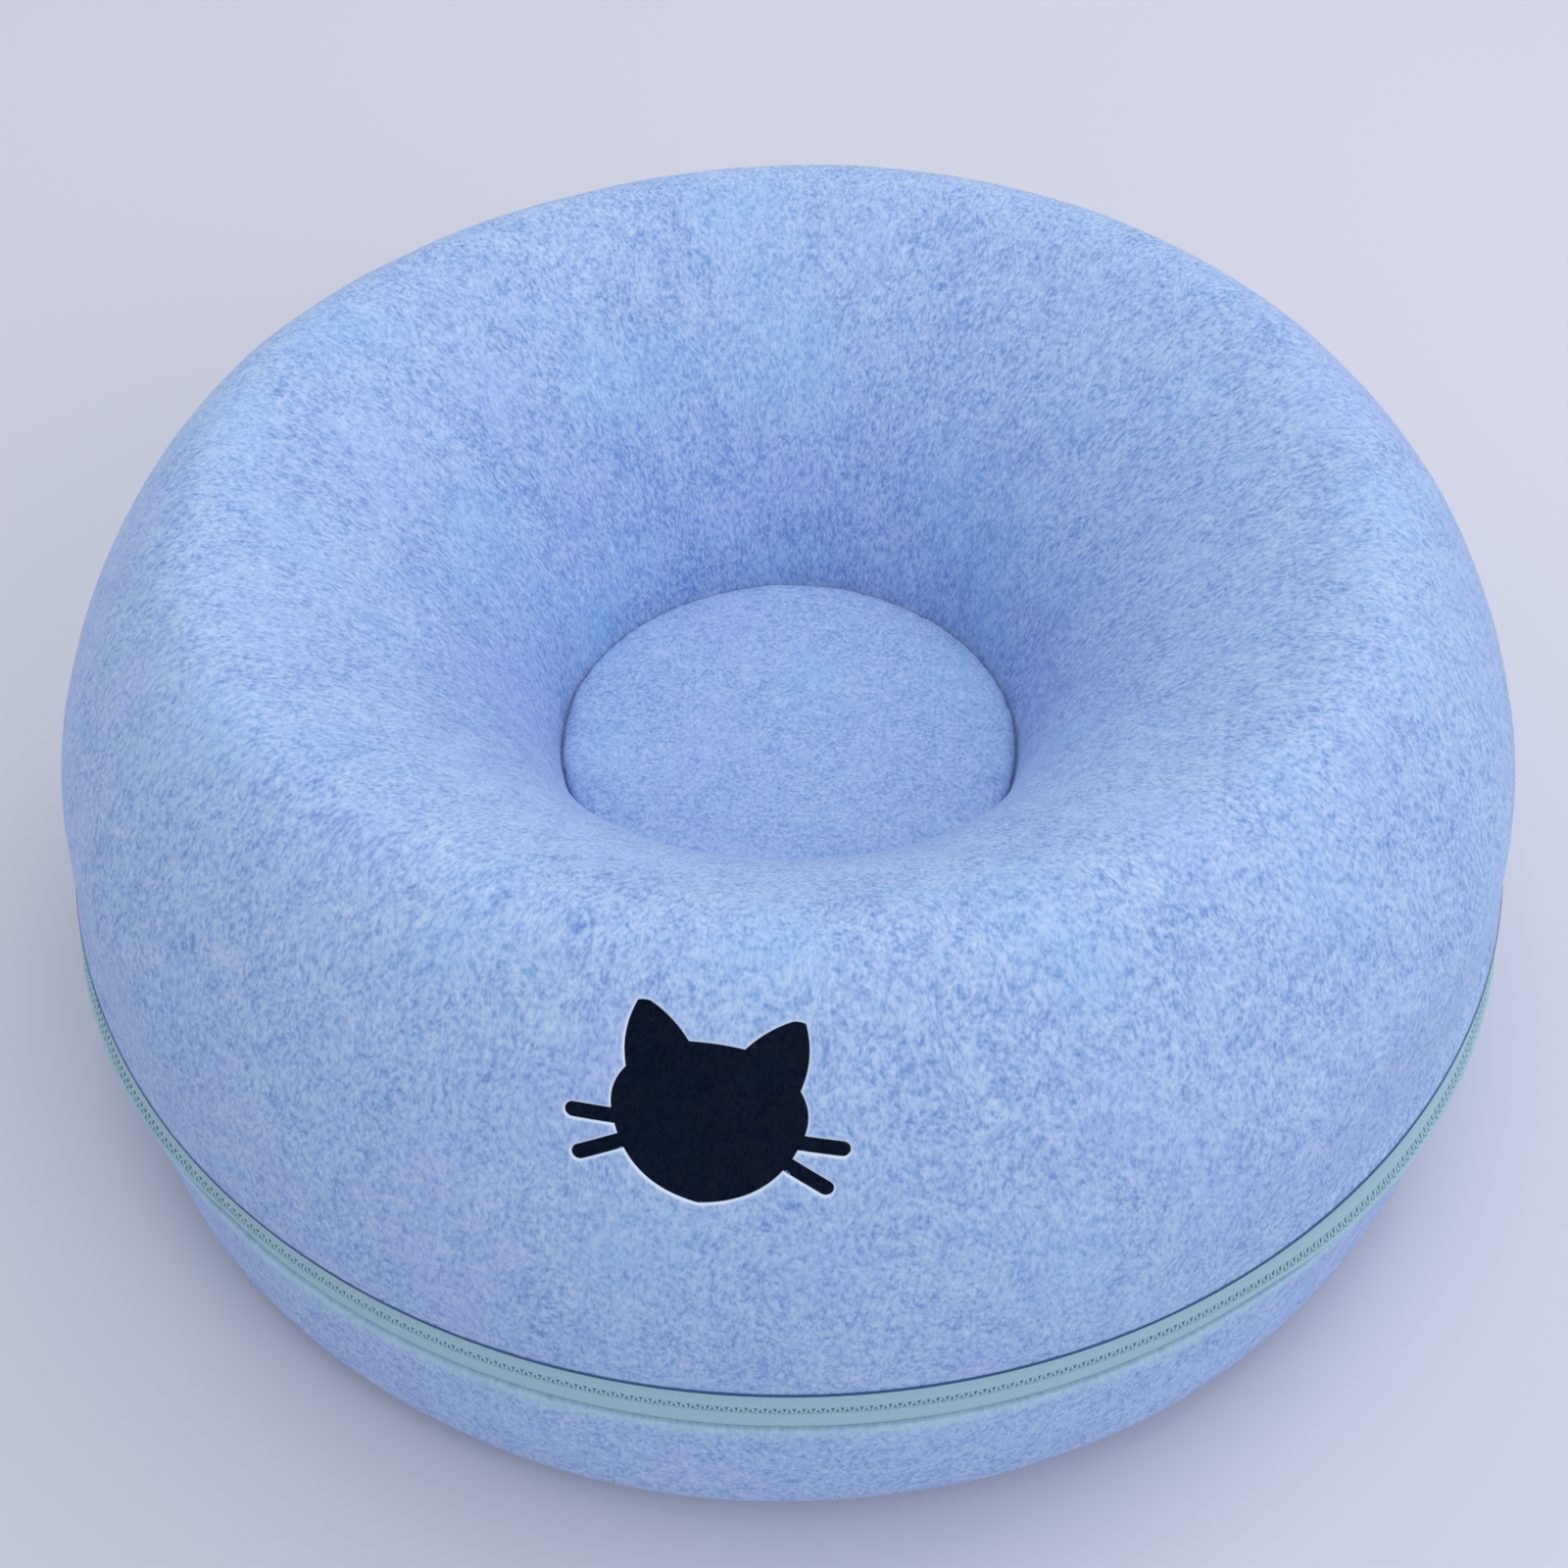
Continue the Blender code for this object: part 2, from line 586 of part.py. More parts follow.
def build_slider(parts, cutters, material):
    """Slider and pull, on a pivot at the ring's axis and one at the bridge."""
    angle = math.asin(SLIDER_PARK / PLATE_OUTER)
    travel = pivot("slider_travel_axis", (0, 0, CHAIN_HEIGHT), parts, -angle)
    swing_at = Vector((0, PULL_AXIS_RADIUS, 0))
    swing_at.rotate(Matrix.Rotation(-angle, 3, 'Z'))
    swing = pivot("pull_swing_axis", (swing_at.x, swing_at.y, CHAIN_HEIGHT), parts, -angle)
    slider = slider_parts(parts, cutters, material)
    slider.parent = travel
    pull, pull_cutters = pull_part(parts, cutters, material)
    for piece in (pull, *pull_cutters):
        piece.parent = swing
    for cutter in cutters.objects:
        if cutter.name.startswith("slider_"):
            cutter.parent = travel


def main():
    clear_scene()
    parts = new_collection("cat_cave_bed")
    cutters = new_collection("cutters")
    felt = new_material("moulded_felt", (0.33, 0.50, 0.80), 0.95)
    pad_felt = new_material("pad_felt", (0.30, 0.46, 0.78), 0.95)
    tape = new_material("woven_tape", (0.26, 0.47, 0.53), 0.80)
    nylon = new_material("nylon_coil", (0.30, 0.52, 0.56), 0.45)
    metal = new_material("painted_zinc", (0.28, 0.48, 0.54), 0.40)
    lid, tray = build_shells(parts, cutters, felt)
    rings = build_zip(parts, cutters, tape, nylon)
    build_slider(parts, cutters, metal)
    pad = turned("centre_pad", pad_profile(), SHELL_STEPS, False, parts, pad_felt)
    hinge = pivot("lid_hinge_axis", (0, HINGE_RADIUS, HINGE_HEIGHT), parts)
    lid_cutters = [cutter for cutter in cutters.objects if cutter.name.startswith(("peephole", "entrance"))]
    carry(hinge, lid, pad, rings["lid_tape"], rings["lid_coil"], *lid_cutters)
    for obj in parts.objects:
        if obj.type == 'MESH':
            shade(obj)


if __name__ == "__main__":
    main()
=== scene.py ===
"""Looks of a cat cave bed: moulded melange felt in two halves, a padded well and a coil zip.

Everything is in metres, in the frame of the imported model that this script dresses.
"""
import json
import math

import bmesh
import bpy
import numpy as np
from mathutils import Matrix, Vector, geometry, noise

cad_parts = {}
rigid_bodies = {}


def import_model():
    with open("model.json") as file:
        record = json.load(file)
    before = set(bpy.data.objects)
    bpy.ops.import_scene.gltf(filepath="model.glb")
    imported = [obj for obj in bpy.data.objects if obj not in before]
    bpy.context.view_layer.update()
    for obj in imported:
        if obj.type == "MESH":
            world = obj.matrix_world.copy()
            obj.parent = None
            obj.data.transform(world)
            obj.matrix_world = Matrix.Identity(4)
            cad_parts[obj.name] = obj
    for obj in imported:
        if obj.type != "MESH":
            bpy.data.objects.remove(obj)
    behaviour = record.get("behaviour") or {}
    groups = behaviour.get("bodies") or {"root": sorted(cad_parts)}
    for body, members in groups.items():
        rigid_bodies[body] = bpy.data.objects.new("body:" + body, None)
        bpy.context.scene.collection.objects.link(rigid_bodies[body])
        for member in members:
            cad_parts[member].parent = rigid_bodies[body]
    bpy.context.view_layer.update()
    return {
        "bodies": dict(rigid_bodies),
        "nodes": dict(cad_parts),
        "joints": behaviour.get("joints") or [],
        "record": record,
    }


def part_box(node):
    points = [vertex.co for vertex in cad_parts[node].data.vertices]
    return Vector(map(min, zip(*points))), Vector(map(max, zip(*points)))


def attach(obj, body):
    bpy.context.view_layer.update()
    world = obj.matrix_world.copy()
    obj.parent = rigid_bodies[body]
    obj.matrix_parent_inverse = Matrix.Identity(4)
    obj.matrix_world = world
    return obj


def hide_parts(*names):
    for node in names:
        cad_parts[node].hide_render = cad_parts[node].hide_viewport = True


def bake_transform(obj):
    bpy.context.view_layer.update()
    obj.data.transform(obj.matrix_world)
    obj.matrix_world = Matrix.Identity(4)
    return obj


bl_info = {
    "name": "Cat Cave Bed",
    "version": (1, 0, 0),
    "blender": (4, 5, 0),
    "location": "View3D > Sidebar > Cat Cave Bed",
    "description": "Dresses a felt cat cave bed round its packed frame",
    "category": "Object",
}

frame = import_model()
LID_LOW, LID_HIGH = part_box("lid_shell")
TRAY_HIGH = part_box("tray_shell")[1]
PAD_LOW, PAD_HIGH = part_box("centre_pad")
LID_TAPE_LOW, LID_TAPE_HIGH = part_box("lid_tape")
TRAY_TAPE_LOW, TRAY_TAPE_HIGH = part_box("tray_tape")
LID_COIL_LOW, LID_COIL_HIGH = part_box("lid_coil")
TRAY_COIL_LOW, TRAY_COIL_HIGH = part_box("tray_coil")
CLOSED_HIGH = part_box("lid_tape_closed_end")[1]
TAB_LOW, TAB_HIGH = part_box("hinge_tab")

MM = 0.001
FULL_TURN = 2 * math.pi
BACK = math.pi / 2  # the angle of +Y, where the hinge tab is
CLEARANCE = 0.3 * MM
LID_LEAN = 0.45  # metres that the lid's tape and the tab lean out in a metre of height
COIL_INNER = TRAY_TAPE_HIGH.x + CLEARANCE
CHAIN_HEIGHT = (LID_COIL_LOW.z + TRAY_COIL_HIGH.z) / 2


def hex_colour(code):
    """Linear RGBA from an sRGB hex value."""
    channels = [int(code[i:i + 2], 16) / 255 for i in (1, 3, 5)]
    linear = [c / 12.92 if c <= 0.04045 else ((c + 0.055) / 1.055) ** 2.4 for c in channels]
    return (*linear, 1.0)


def size_of(name, description, default):
    """A length that a user may change."""
    return bpy.props.FloatProperty(name=name, description=description, default=default,
                                   min=0.0, precision=5, unit='LENGTH', subtype='DISTANCE')


def share_of(name, description, default):
    """A share of another size, from 0 to 1."""
    return bpy.props.FloatProperty(name=name, description=description, default=default,
                                   min=0.0, max=1.0, subtype='FACTOR')


def angle_of(name, description, degrees):
    """An angle that a user may change."""
    return bpy.props.FloatProperty(name=name, description=description, default=math.radians(degrees),
                                   subtype='ANGLE', unit='ROTATION')


def number_of(name, description, default):
    """A plain number that a user may change."""
    return bpy.props.FloatProperty(name=name, description=description, default=default, min=0.0)


def colour_of(name, description, code):
    """A colour that a user may change."""
    return bpy.props.FloatVectorProperty(name=name, description=description, size=4, min=0.0, max=1.0,
                                         default=hex_colour(code), subtype='COLOR')


class FeltSettings(bpy.types.PropertyGroup):
    """Sizes and colours of the two felt shells."""
    felt: size_of("Felt", "Thickness of the moulded felt", 0.004)
    cut_round: size_of("Cut rounding", "Rounding of the felt's cut edges", 0.0008)
    tray_rim: size_of("Tray rim", "Height of the tray's rim above the floor", 0.079)
    foot_outer: size_of("Foot outside", "Outer radius of the flat ring that it stands on", 0.240)
    foot_inner: size_of("Foot inside", "Inner radius of the flat ring that it stands on", 0.196)
    hump_fillet: size_of("Hump fillet", "Rounding at the top of the hump inside the ring", 0.012)
    bulge_rise: size_of("Bulge rise", "Height of the widest place above the lid's rim", 0.010)
    crest_radius: size_of("Crest radius", "Radius of the highest line of the ring", 0.220)
    flare: size_of("Rim flare", "How far the zip holds the lid's rim out", 0.0015)
    crest_softness: size_of("Crest softness", "How far the moulding rounds off the crest", 0.009)
    well_radius: size_of("Well radius", "Radius of the well at its floor", 0.0965)
    well_wall: size_of("Well wall", "Height of the upright part of the well's wall", 0.010)
    well_fillet: size_of("Well fillet", "Rounding between the well's wall and floor", 0.008)
    well_lean: size_of("Well lean", "How far the well's wall leans out", 0.016)
    hump_radius: size_of("Hump radius", "Radius of the tray's hump under the well", 0.102)
    wave: size_of("Waviness", "How far the moulded felt wanders in and out", 0.0011)
    wave_length: size_of("Wave length", "Distance between the felt's wanderings", 0.110)
    pale: colour_of("Pale fibre", "Lightest fibres of the melange", "#b6cbea")
    mid: colour_of("Mid fibre", "Main colour of the melange", "#99b6e1")
    dark: colour_of("Dark fibre", "Darkest fibres of the melange", "#6a8ecb")
    # Painted shadow: this dark navy colour along the bottom of the lid's rim stands in for the shadow in the gap
    # where the felt's edge overhangs the zip tape.
    painted_rim_shadow: colour_of("Pressed edge", "Rim of the lid where the felt is pressed hard", "#1c4a7c")
    # Also laid on the pad as a painted highlight along its back edge.
    cut: colour_of("Cut edge", "Fluffed edge of a cut through the felt", "#cfe0f6")
    mint: colour_of("Rim tint", "Tray rim under the zip tape's edge", "#b2d6e2")


class OpeningSettings(bpy.types.PropertyGroup):
    """Sizes of the entrance and of the cat-head peephole."""
    head_width: size_of("Head width", "Width of the cat's head", 0.0604)
    whisker: size_of("Whisker width", "Width of a whisker slot", 0.0050)
    flare: size_of("Flare", "How much wider the peephole is inside the felt", 0.0018)
    head_rise: share_of("Head rise", "Height of the head from the lid's rim to its crest", 0.760)
    head_roll: angle_of("Head roll", "Tilt of the head in the felt", -4.0)
    entrance_width: size_of("Entrance width", "Width of the entrance behind", 0.150)
    entrance_height: share_of("Entrance height", "Height of the entrance from the rim to the crest", 0.83)
    entrance_rise: size_of("Entrance rise", "Height of the entrance's lower edge above the rim", 0.012)


class PadSettings(bpy.types.PropertyGroup):
    """Sizes and colours of the loose pad."""
    draw_in: size_of("Draw-in", "How far the side draws in at its top and bottom", 0.0024)
    plump: size_of("Plump", "How far the pad's soft side swells past its seams", 0.0024)
    voxel: size_of("Cover mesh", "Mesh size of the cover while it is filled", 0.0040)
    pressure: number_of("Pressure", "Pressure of the filling", 4.0)
    most_swell: size_of("Most swell", "How far the filling may push the cover out", 0.0014)
    crown: size_of("Crown", "Rise of the pad's middle", 0.0016)
    pale: colour_of("Pale fibre", "Lightest fibres of the pad", "#afc6e8")
    mid: colour_of("Mid fibre", "Main colour of the pad", "#94b3df")
    dark: colour_of("Dark fibre", "Darkest fibres of the pad", "#6e91c9")


class ZipSettings(bpy.types.PropertyGroup):
    """Sizes and colours of the zip."""
    tape: size_of("Tape", "Thickness of the zip's tapes", 0.0008)
    tab: size_of("Tab", "Thickness of the hinge tab", 0.0012)
    pitch: size_of("Pitch", "Distance from one turn of the coil to the next", 0.0033)
    wire: size_of("Wire", "Thickness of the coil's nylon wire", 0.00105)
    reach: size_of("Reach", "How far a coil reaches between the other coil's turns", 0.0010)
    thread: size_of("Thread", "Thickness of the sewing thread", 0.0005)
    stitch: size_of("Stitch", "Length of a sewn stitch with its gap", 0.0045)
    # The tape's light and dark colours are lit and shaded copies of one dye: painted light on the raised threads,
    # painted shade on the sunk ones.
    tape_light: colour_of("Tape light", "Raised threads of the tape", "#b4d6e6")
    tape_shade: colour_of("Tape dark", "Sunk threads of the tape", "#80a6ba")
    nylon: colour_of("Nylon", "Colour of the coil", "#a3c8d8")
    paint: colour_of("Paint", "Colour of the slider's paint", "#8fb8c6")


class StageSettings(bpy.types.PropertyGroup):
    """Camera, floor and lamps."""
    camera_out: size_of("Camera out", "Distance of the camera from the bed's axis", 0.6671)
    camera_height: size_of("Camera height", "Height of the camera above the floor", 0.796)
    camera_turn: angle_of("Camera turn", "Turn of the camera round the bed", 5.42)
    camera_dip: angle_of("Camera dip", "How far the camera looks down", 46.47)
    focal_pixels: number_of("Focal length", "Focal length in pixels of the photo", 2300.0)
    floor: colour_of("Floor", "Colour of the studio floor", "#c8ccdb")
    # Painted light: the far floor's paler colour stands in for the lamps lighting the floor more strongly to the
    # right and behind.
    far_floor_painted_light: colour_of("Far floor", "Colour of the floor behind and to the right", "#ced1e1")
    sky: colour_of("Sky", "Colour of the soft light all round", "#ffffff")
    sky_strength: number_of("Sky strength", "Strength of the soft light all round", 0.665)


PHOTO_WIDTH = 1600
SENSOR = 36.0
CAMERA_SHIFT_PIXELS = -5.4


def add_node(tree, kind, settings=None, links=None):
    """Add a node with its settings and links; lower-case names are properties and the rest are sockets."""
    node = tree.nodes.new(kind)
    for key, value in (settings or {}).items():
        if isinstance(key, str) and hasattr(node, key):
            setattr(node, key, value)
        else:
            node.inputs[key].default_value = value
    for socket, source in (links or {}).items():
        tree.links.new(source, node.inputs[socket])
    return node


def bare_material(name):
    """A node material that holds only its output and a Principled shader."""
    material = bpy.data.materials.new(name)
    material.use_nodes = True
    return material, material.node_tree, material.node_tree.nodes["Principled BSDF"]


def finish_with(tree, shader, numbers, sources):
    """Set a shader's plain numbers, and link its other sockets to their sources."""
    for socket, source in sources.items():
        tree.links.new(source, shader.inputs[socket])
    for socket, value in numbers.items():
        shader.inputs[socket].default_value = value


def made_once(name, make, *colours):
    """A material that several pieces share."""
    return bpy.data.materials.get(name) or make(name, *(tuple(colour) for colour in colours))


def per_metre(spacing):
    """Noise scale that gives cells of one real size."""
    return 1.0 / spacing


def smoothstep(low, high, value):
    """Smooth rise from 0 at low to 1 at high."""
    share = np.clip((value - low) / (high - low), 0, 1)
    return share * share * (3 - 2 * share)


def felt_material(name, pale, mid, dark, cut, painted_rim_shadow, mint):
    """Polyester fibres of three blues, carded together and needled, then moulded hot under pressure.

    The eye gets a soft mottled blue with short darker and paler fibres that lie mostly down the
    slope, darker down in the well where shade is painted in, a matt face, and
    a pale bloom where the fuzz is seen edge on. The real fibres are 0.03 mm thick, so bundles of
    them are drawn instead.
    """
    material, tree, shader = bare_material(name)
    grain_layers = ((1.8 * MM, 0.70, 0.85, 1.75), (8.0 * MM, 0.75, 0.95, 0.60), (36 * MM, 0.9, 0.95, 0.34))
    bend_width, bend_reach, patch, fibre_width = 16 * MM, 5 * MM, 60 * MM, 0.9 * MM
    flow = add_node(tree, 'ShaderNodeAttribute', {"attribute_name": "flow"}).outputs["Vector"]
    painted_well_shade = add_node(tree, 'ShaderNodeAttribute', {"attribute_name": "painted_well_shade"}).outputs["Fac"]
    place = add_node(tree, 'ShaderNodeTexCoord').outputs["Object"]
    bend = add_node(tree, 'ShaderNodeTexNoise', {"Scale": per_metre(bend_width), "Detail": 0.0}, {"Vector": flow})
    bent = add_node(tree, 'ShaderNodeVectorMath', {"operation": 'MULTIPLY_ADD', 1: (bend_reach, bend_reach, 0)},
                    {0: bend.outputs["Color"], 2: flow})
    patches = add_node(tree, 'ShaderNodeTexNoise', {"Scale": per_metre(patch), "Detail": 1.0}, {"Vector": place})
    tone = None
    for spacing, stretch, roughness, gain in grain_layers:
        combed = add_node(tree, 'ShaderNodeVectorMath', {"operation": 'MULTIPLY', 1: (1, 1, stretch)},
                          {0: bent.outputs[0]})
        grain = add_node(tree, 'ShaderNodeTexNoise',
                         {"Scale": per_metre(spacing), "Detail": 1.0, "Roughness": roughness},
                         {"Vector": combed.outputs[0]})
        off = add_node(tree, 'ShaderNodeMath', {"operation": 'SUBTRACT', 1: 0.5}, {0: grain.outputs["Fac"]})
        part = add_node(tree, 'ShaderNodeMath', {"operation": 'MULTIPLY_ADD', 1: gain, 2: 0.5},
                        {0: off.outputs[0]})
        if tone is not None:
            tree.links.new(tone, part.inputs[2])
        tone = part.outputs[0]
    # Painted shade: the tone drops where the well's shade attribute is set, darkening the felt down in the well.
    tone = add_node(tree, 'ShaderNodeMath', {"operation": 'MULTIPLY_ADD', 1: -0.16},
                    {0: painted_well_shade, 2: tone}).outputs[0]
    upper = add_node(tree, 'ShaderNodeMapRange', {"From Min": 0.5, "From Max": 1.0}, {"Value": tone})
    lower = add_node(tree, 'ShaderNodeMapRange', {"From Min": 0.5, "From Max": 0.0}, {"Value": tone})
    body = add_node(tree, 'ShaderNodeMix', {"data_type": 'RGBA', 6: mid, 7: pale}, {0: upper.outputs[0]})
    shaded = add_node(tree, 'ShaderNodeMix', {"data_type": 'RGBA', 7: dark},
                      {0: lower.outputs[0], 6: body.outputs[2]})
    colour, height = shaded.outputs[2], tone
    for tint, seed, strength in ((dark, 0.31, 0.40), (pale, 0.77, 0.34)):
        drawn_out = add_node(tree, 'ShaderNodeVectorMath',
                             {"operation": 'MULTIPLY_ADD', 1: (1, 1, 0.20), 2: (seed, seed, seed)},
                             {0: bent.outputs[0]})
        fibre = add_node(tree, 'ShaderNodeTexNoise', {"Scale": per_metre(fibre_width), "Detail": 0.0},
                         {"Vector": drawn_out.outputs[0]})
        drawn = add_node(tree, 'ShaderNodeMapRange', {"From Min": 0.62, "From Max": 0.72, "To Max": strength},
                         {"Value": fibre.outputs["Fac"]})
        colour = add_node(tree, 'ShaderNodeMix', {"data_type": 'RGBA', 7: tint},
                          {0: drawn.outputs[0], 6: colour}).outputs[2]
        height = add_node(tree, 'ShaderNodeMath', {"operation": 'MULTIPLY_ADD', 1: 0.3},
                          {0: drawn.outputs[0], 2: height}).outputs[0]
    for tint, low, high in ((hex_colour("#a9b4ee"), 0.54, 0.72), (hex_colour("#8fc4ee"), 0.46, 0.28)):
        share = add_node(tree, 'ShaderNodeMapRange', {"From Min": low, "From Max": high, "To Max": 0.24},
                         {"Value": patches.outputs["Fac"]})
        colour = add_node(tree, 'ShaderNodeMix', {"data_type": 'RGBA', 7: tint},
                          {0: share.outputs[0], 6: colour}).outputs[2]
    edge = add_node(tree, 'ShaderNodeAttribute', {"attribute_name": "edge"})
    split = add_node(tree, 'ShaderNodeSeparateColor', None, {0: edge.outputs["Color"]})
    # Edge colours: the fluffed cut edge (on the pad, a painted highlight along its back edge), a painted shadow
    # along the bottom of the lid's rim, and the tray's rim tint.
    for channel, tint in enumerate((cut, painted_rim_shadow, mint)):
        colour = add_node(tree, 'ShaderNodeMix', {"data_type": 'RGBA', 7: tint},
                          {0: split.outputs[channel], 6: colour}).outputs[2]
    bump = add_node(tree, 'ShaderNodeBump', {"Strength": 0.5, "Distance": 0.30 * MM}, {"Height": height})
    finish_with(tree, shader, {"Roughness": 0.95, "IOR": 1.57, "Specular IOR Level": 0.15, "Sheen Weight": 0.26,
                               "Sheen Roughness": 0.45, "Sheen Tint": hex_colour("#dfe4fb")},
                {"Base Color": colour, "Normal": bump.outputs[0]})
    return material


def tape_material(name, light, dark):
    """Polyester tape woven in a herringbone of fine warp threads, dyed, left as it comes off the loom.

    The eye gets a matt ribbed band whose raised threads are lighter and sunk threads darker:
    painted light and painted shade on one dye, with random specks. The real threads are 0.3 mm
    apart, too fine to show here, so they are drawn 0.9 mm apart.
    """
    material, tree, shader = bare_material(name)
    thread, band, fuzz = 0.9 * MM, 2.7 * MM, 0.6 * MM
    weave = add_node(tree, 'ShaderNodeAttribute', {"attribute_name": "weave"})
    split = add_node(tree, 'ShaderNodeSeparateXYZ', None, {0: weave.outputs["Vector"]})
    slant = add_node(tree, 'ShaderNodeMath', {"operation": 'PINGPONG', 1: band}, {0: split.outputs["Y"]})
    along = add_node(tree, 'ShaderNodeMath', {"operation": 'ADD'}, {0: split.outputs["X"], 1: slant.outputs[0]})
    phase = add_node(tree, 'ShaderNodeMath', {"operation": 'MULTIPLY', 1: FULL_TURN / thread},
                     {0: along.outputs[0]})
    wave = add_node(tree, 'ShaderNodeMath', {"operation": 'SINE'}, {0: phase.outputs[0]})
    raised = add_node(tree, 'ShaderNodeMapRange', {"From Min": -1.0, "From Max": 1.0},
                      {"Value": wave.outputs[0]})
    half_raised = add_node(tree, 'ShaderNodeMath', {"operation": 'MULTIPLY', 1: 0.5}, {0: raised.outputs[0]})
    specks = add_node(tree, 'ShaderNodeTexNoise', {"Scale": per_metre(fuzz), "Detail": 2.0},
                      {"Vector": weave.outputs["Vector"]})
    tone = add_node(tree, 'ShaderNodeMath', {"operation": 'MULTIPLY_ADD', 1: 0.6},
                    {0: specks.outputs["Fac"], 2: half_raised.outputs[0]})
    # Painted light and shade: raised threads take the light colour and sunk threads the dark one.
    colour = add_node(tree, 'ShaderNodeMix', {"data_type": 'RGBA', 6: dark, 7: light}, {0: tone.outputs[0]})
    bump = add_node(tree, 'ShaderNodeBump', {"Strength": 0.7, "Distance": 0.12 * MM}, {"Height": tone.outputs[0]})
    finish_with(tree, shader, {"Roughness": 0.85, "IOR": 1.57, "Specular IOR Level": 0.25, "Sheen Weight": 0.15},
                {"Base Color": colour.outputs[2], "Normal": bump.outputs[0]})
    return material


def nylon_material(name, colour):
    """Nylon wire, dyed and heat-set round a mandrel.

    The eye gets a satin teal wire with a slight cloudiness in it.
    """
    material, tree, shader = bare_material(name)
    place = add_node(tree, 'ShaderNodeTexCoord').outputs["Object"]
    cloudy = add_node(tree, 'ShaderNodeTexNoise', {"Scale": per_metre(1.5 * MM), "Detail": 2.0},
                      {"Vector": place})
    shade = add_node(tree, 'ShaderNodeMapRange', {"To Min": 0.82, "To Max": 1.12},
                     {"Value": cloudy.outputs["Fac"]})
    tinted = add_node(tree, 'ShaderNodeVectorMath', {"operation": 'SCALE', 0: colour[:3]},
                      {"Scale": shade.outputs[0]})
    rough = add_node(tree, 'ShaderNodeMapRange', {"To Min": 0.30, "To Max": 0.50},
                     {"Value": cloudy.outputs["Fac"]})
    finish_with(tree, shader, {"IOR": 1.53}, {"Base Color": tinted.outputs[0], "Roughness": rough.outputs[0]})
    return material


def thread_material(name, colour):
    """Spun polyester sewing thread of two plies.

    The eye gets short soft strokes with a slanting twist.
    """
    material, tree, shader = bare_material(name)
    place = add_node(tree, 'ShaderNodeTexCoord').outputs["Object"]
    twist = add_node(tree, 'ShaderNodeTexWave', {"Scale": per_metre(4 * MM), "Distortion": 1.0,
                                                 "bands_direction": 'DIAGONAL'}, {"Vector": place})
    shade = add_node(tree, 'ShaderNodeMapRange', {"To Min": 0.75, "To Max": 1.05}, {"Value": twist.outputs["Fac"]})
    tinted = add_node(tree, 'ShaderNodeVectorMath', {"operation": 'SCALE', 0: colour[:3]},
                      {"Scale": shade.outputs[0]})
    bump = add_node(tree, 'ShaderNodeBump', {"Strength": 0.4, "Distance": 0.1 * MM},
                    {"Height": twist.outputs["Fac"]})
    finish_with(tree, shader, {"Roughness": 0.7, "IOR": 1.57},
                {"Base Color": tinted.outputs[0], "Normal": bump.outputs[0]})
    return material


def painted_zinc(name, colour):
    """Zinc, die cast, tumbled and baked with a coat of enamel paint.

    The eye gets an even satin teal with a faint orange-peel surface.
    """
    material, tree, shader = bare_material(name)
    place = add_node(tree, 'ShaderNodeTexCoord').outputs["Object"]
    peel = add_node(tree, 'ShaderNodeTexNoise', {"Scale": per_metre(0.7 * MM), "Detail": 1.0}, {"Vector": place})
    worn = add_node(tree, 'ShaderNodeTexNoise', {"Scale": per_metre(5 * MM), "Detail": 3.0}, {"Vector": place})
    shade = add_node(tree, 'ShaderNodeMapRange', {"To Min": 0.88, "To Max": 1.10}, {"Value": worn.outputs["Fac"]})
    tinted = add_node(tree, 'ShaderNodeVectorMath', {"operation": 'SCALE', 0: colour[:3]},
                      {"Scale": shade.outputs[0]})
    rough = add_node(tree, 'ShaderNodeMapRange', {"To Min": 0.28, "To Max": 0.46}, {"Value": worn.outputs["Fac"]})
    bump = add_node(tree, 'ShaderNodeBump', {"Strength": 0.15, "Distance": 0.05 * MM},
                    {"Height": peel.outputs["Fac"]})
    finish_with(tree, shader, {"IOR": 1.5, "Coat Weight": 0.3, "Coat Roughness": 0.2},
                {"Base Color": tinted.outputs[0], "Roughness": rough.outputs[0], "Normal": bump.outputs[0]})
    return material


def floor_material(name, near, far):
    """Matt seamless backdrop paper, unrolled over the floor.

    The eye gets an even lavender grey that grows paler away from the camera and to the right;
    the paler side is painted light, where the lamps fall more strongly on the paper.
    """
    material, tree, shader = bare_material(name)
    place = add_node(tree, 'ShaderNodeTexCoord').outputs["Object"]
    split = add_node(tree, 'ShaderNodeSeparateXYZ', None, {0: place})
    lean = add_node(tree, 'ShaderNodeMath', {"operation": 'MULTIPLY_ADD', 1: 0.6},
                    {0: split.outputs["Y"], 2: split.outputs["X"]})
    share = add_node(tree, 'ShaderNodeMapRange', {"From Min": -0.5, "From Max": 0.8}, {"Value": lean.outputs[0]})
    tooth = add_node(tree, 'ShaderNodeTexNoise', {"Scale": per_metre(2 * MM), "Detail": 2.0}, {"Vector": place})
    # Painted light: the floor pales towards the far right, where the lamps fall more strongly.
    colour = add_node(tree, 'ShaderNodeMix', {"data_type": 'RGBA', 6: near, 7: far}, {0: share.outputs[0]})
    bump = add_node(tree, 'ShaderNodeBump', {"Strength": 0.05, "Distance": 0.1 * MM},
                    {"Height": tooth.outputs["Fac"]})
    finish_with(tree, shader, {"Roughness": 0.9, "Specular IOR Level": 0.1},
                {"Base Color": colour.outputs[2], "Normal": bump.outputs[0]})
    return material


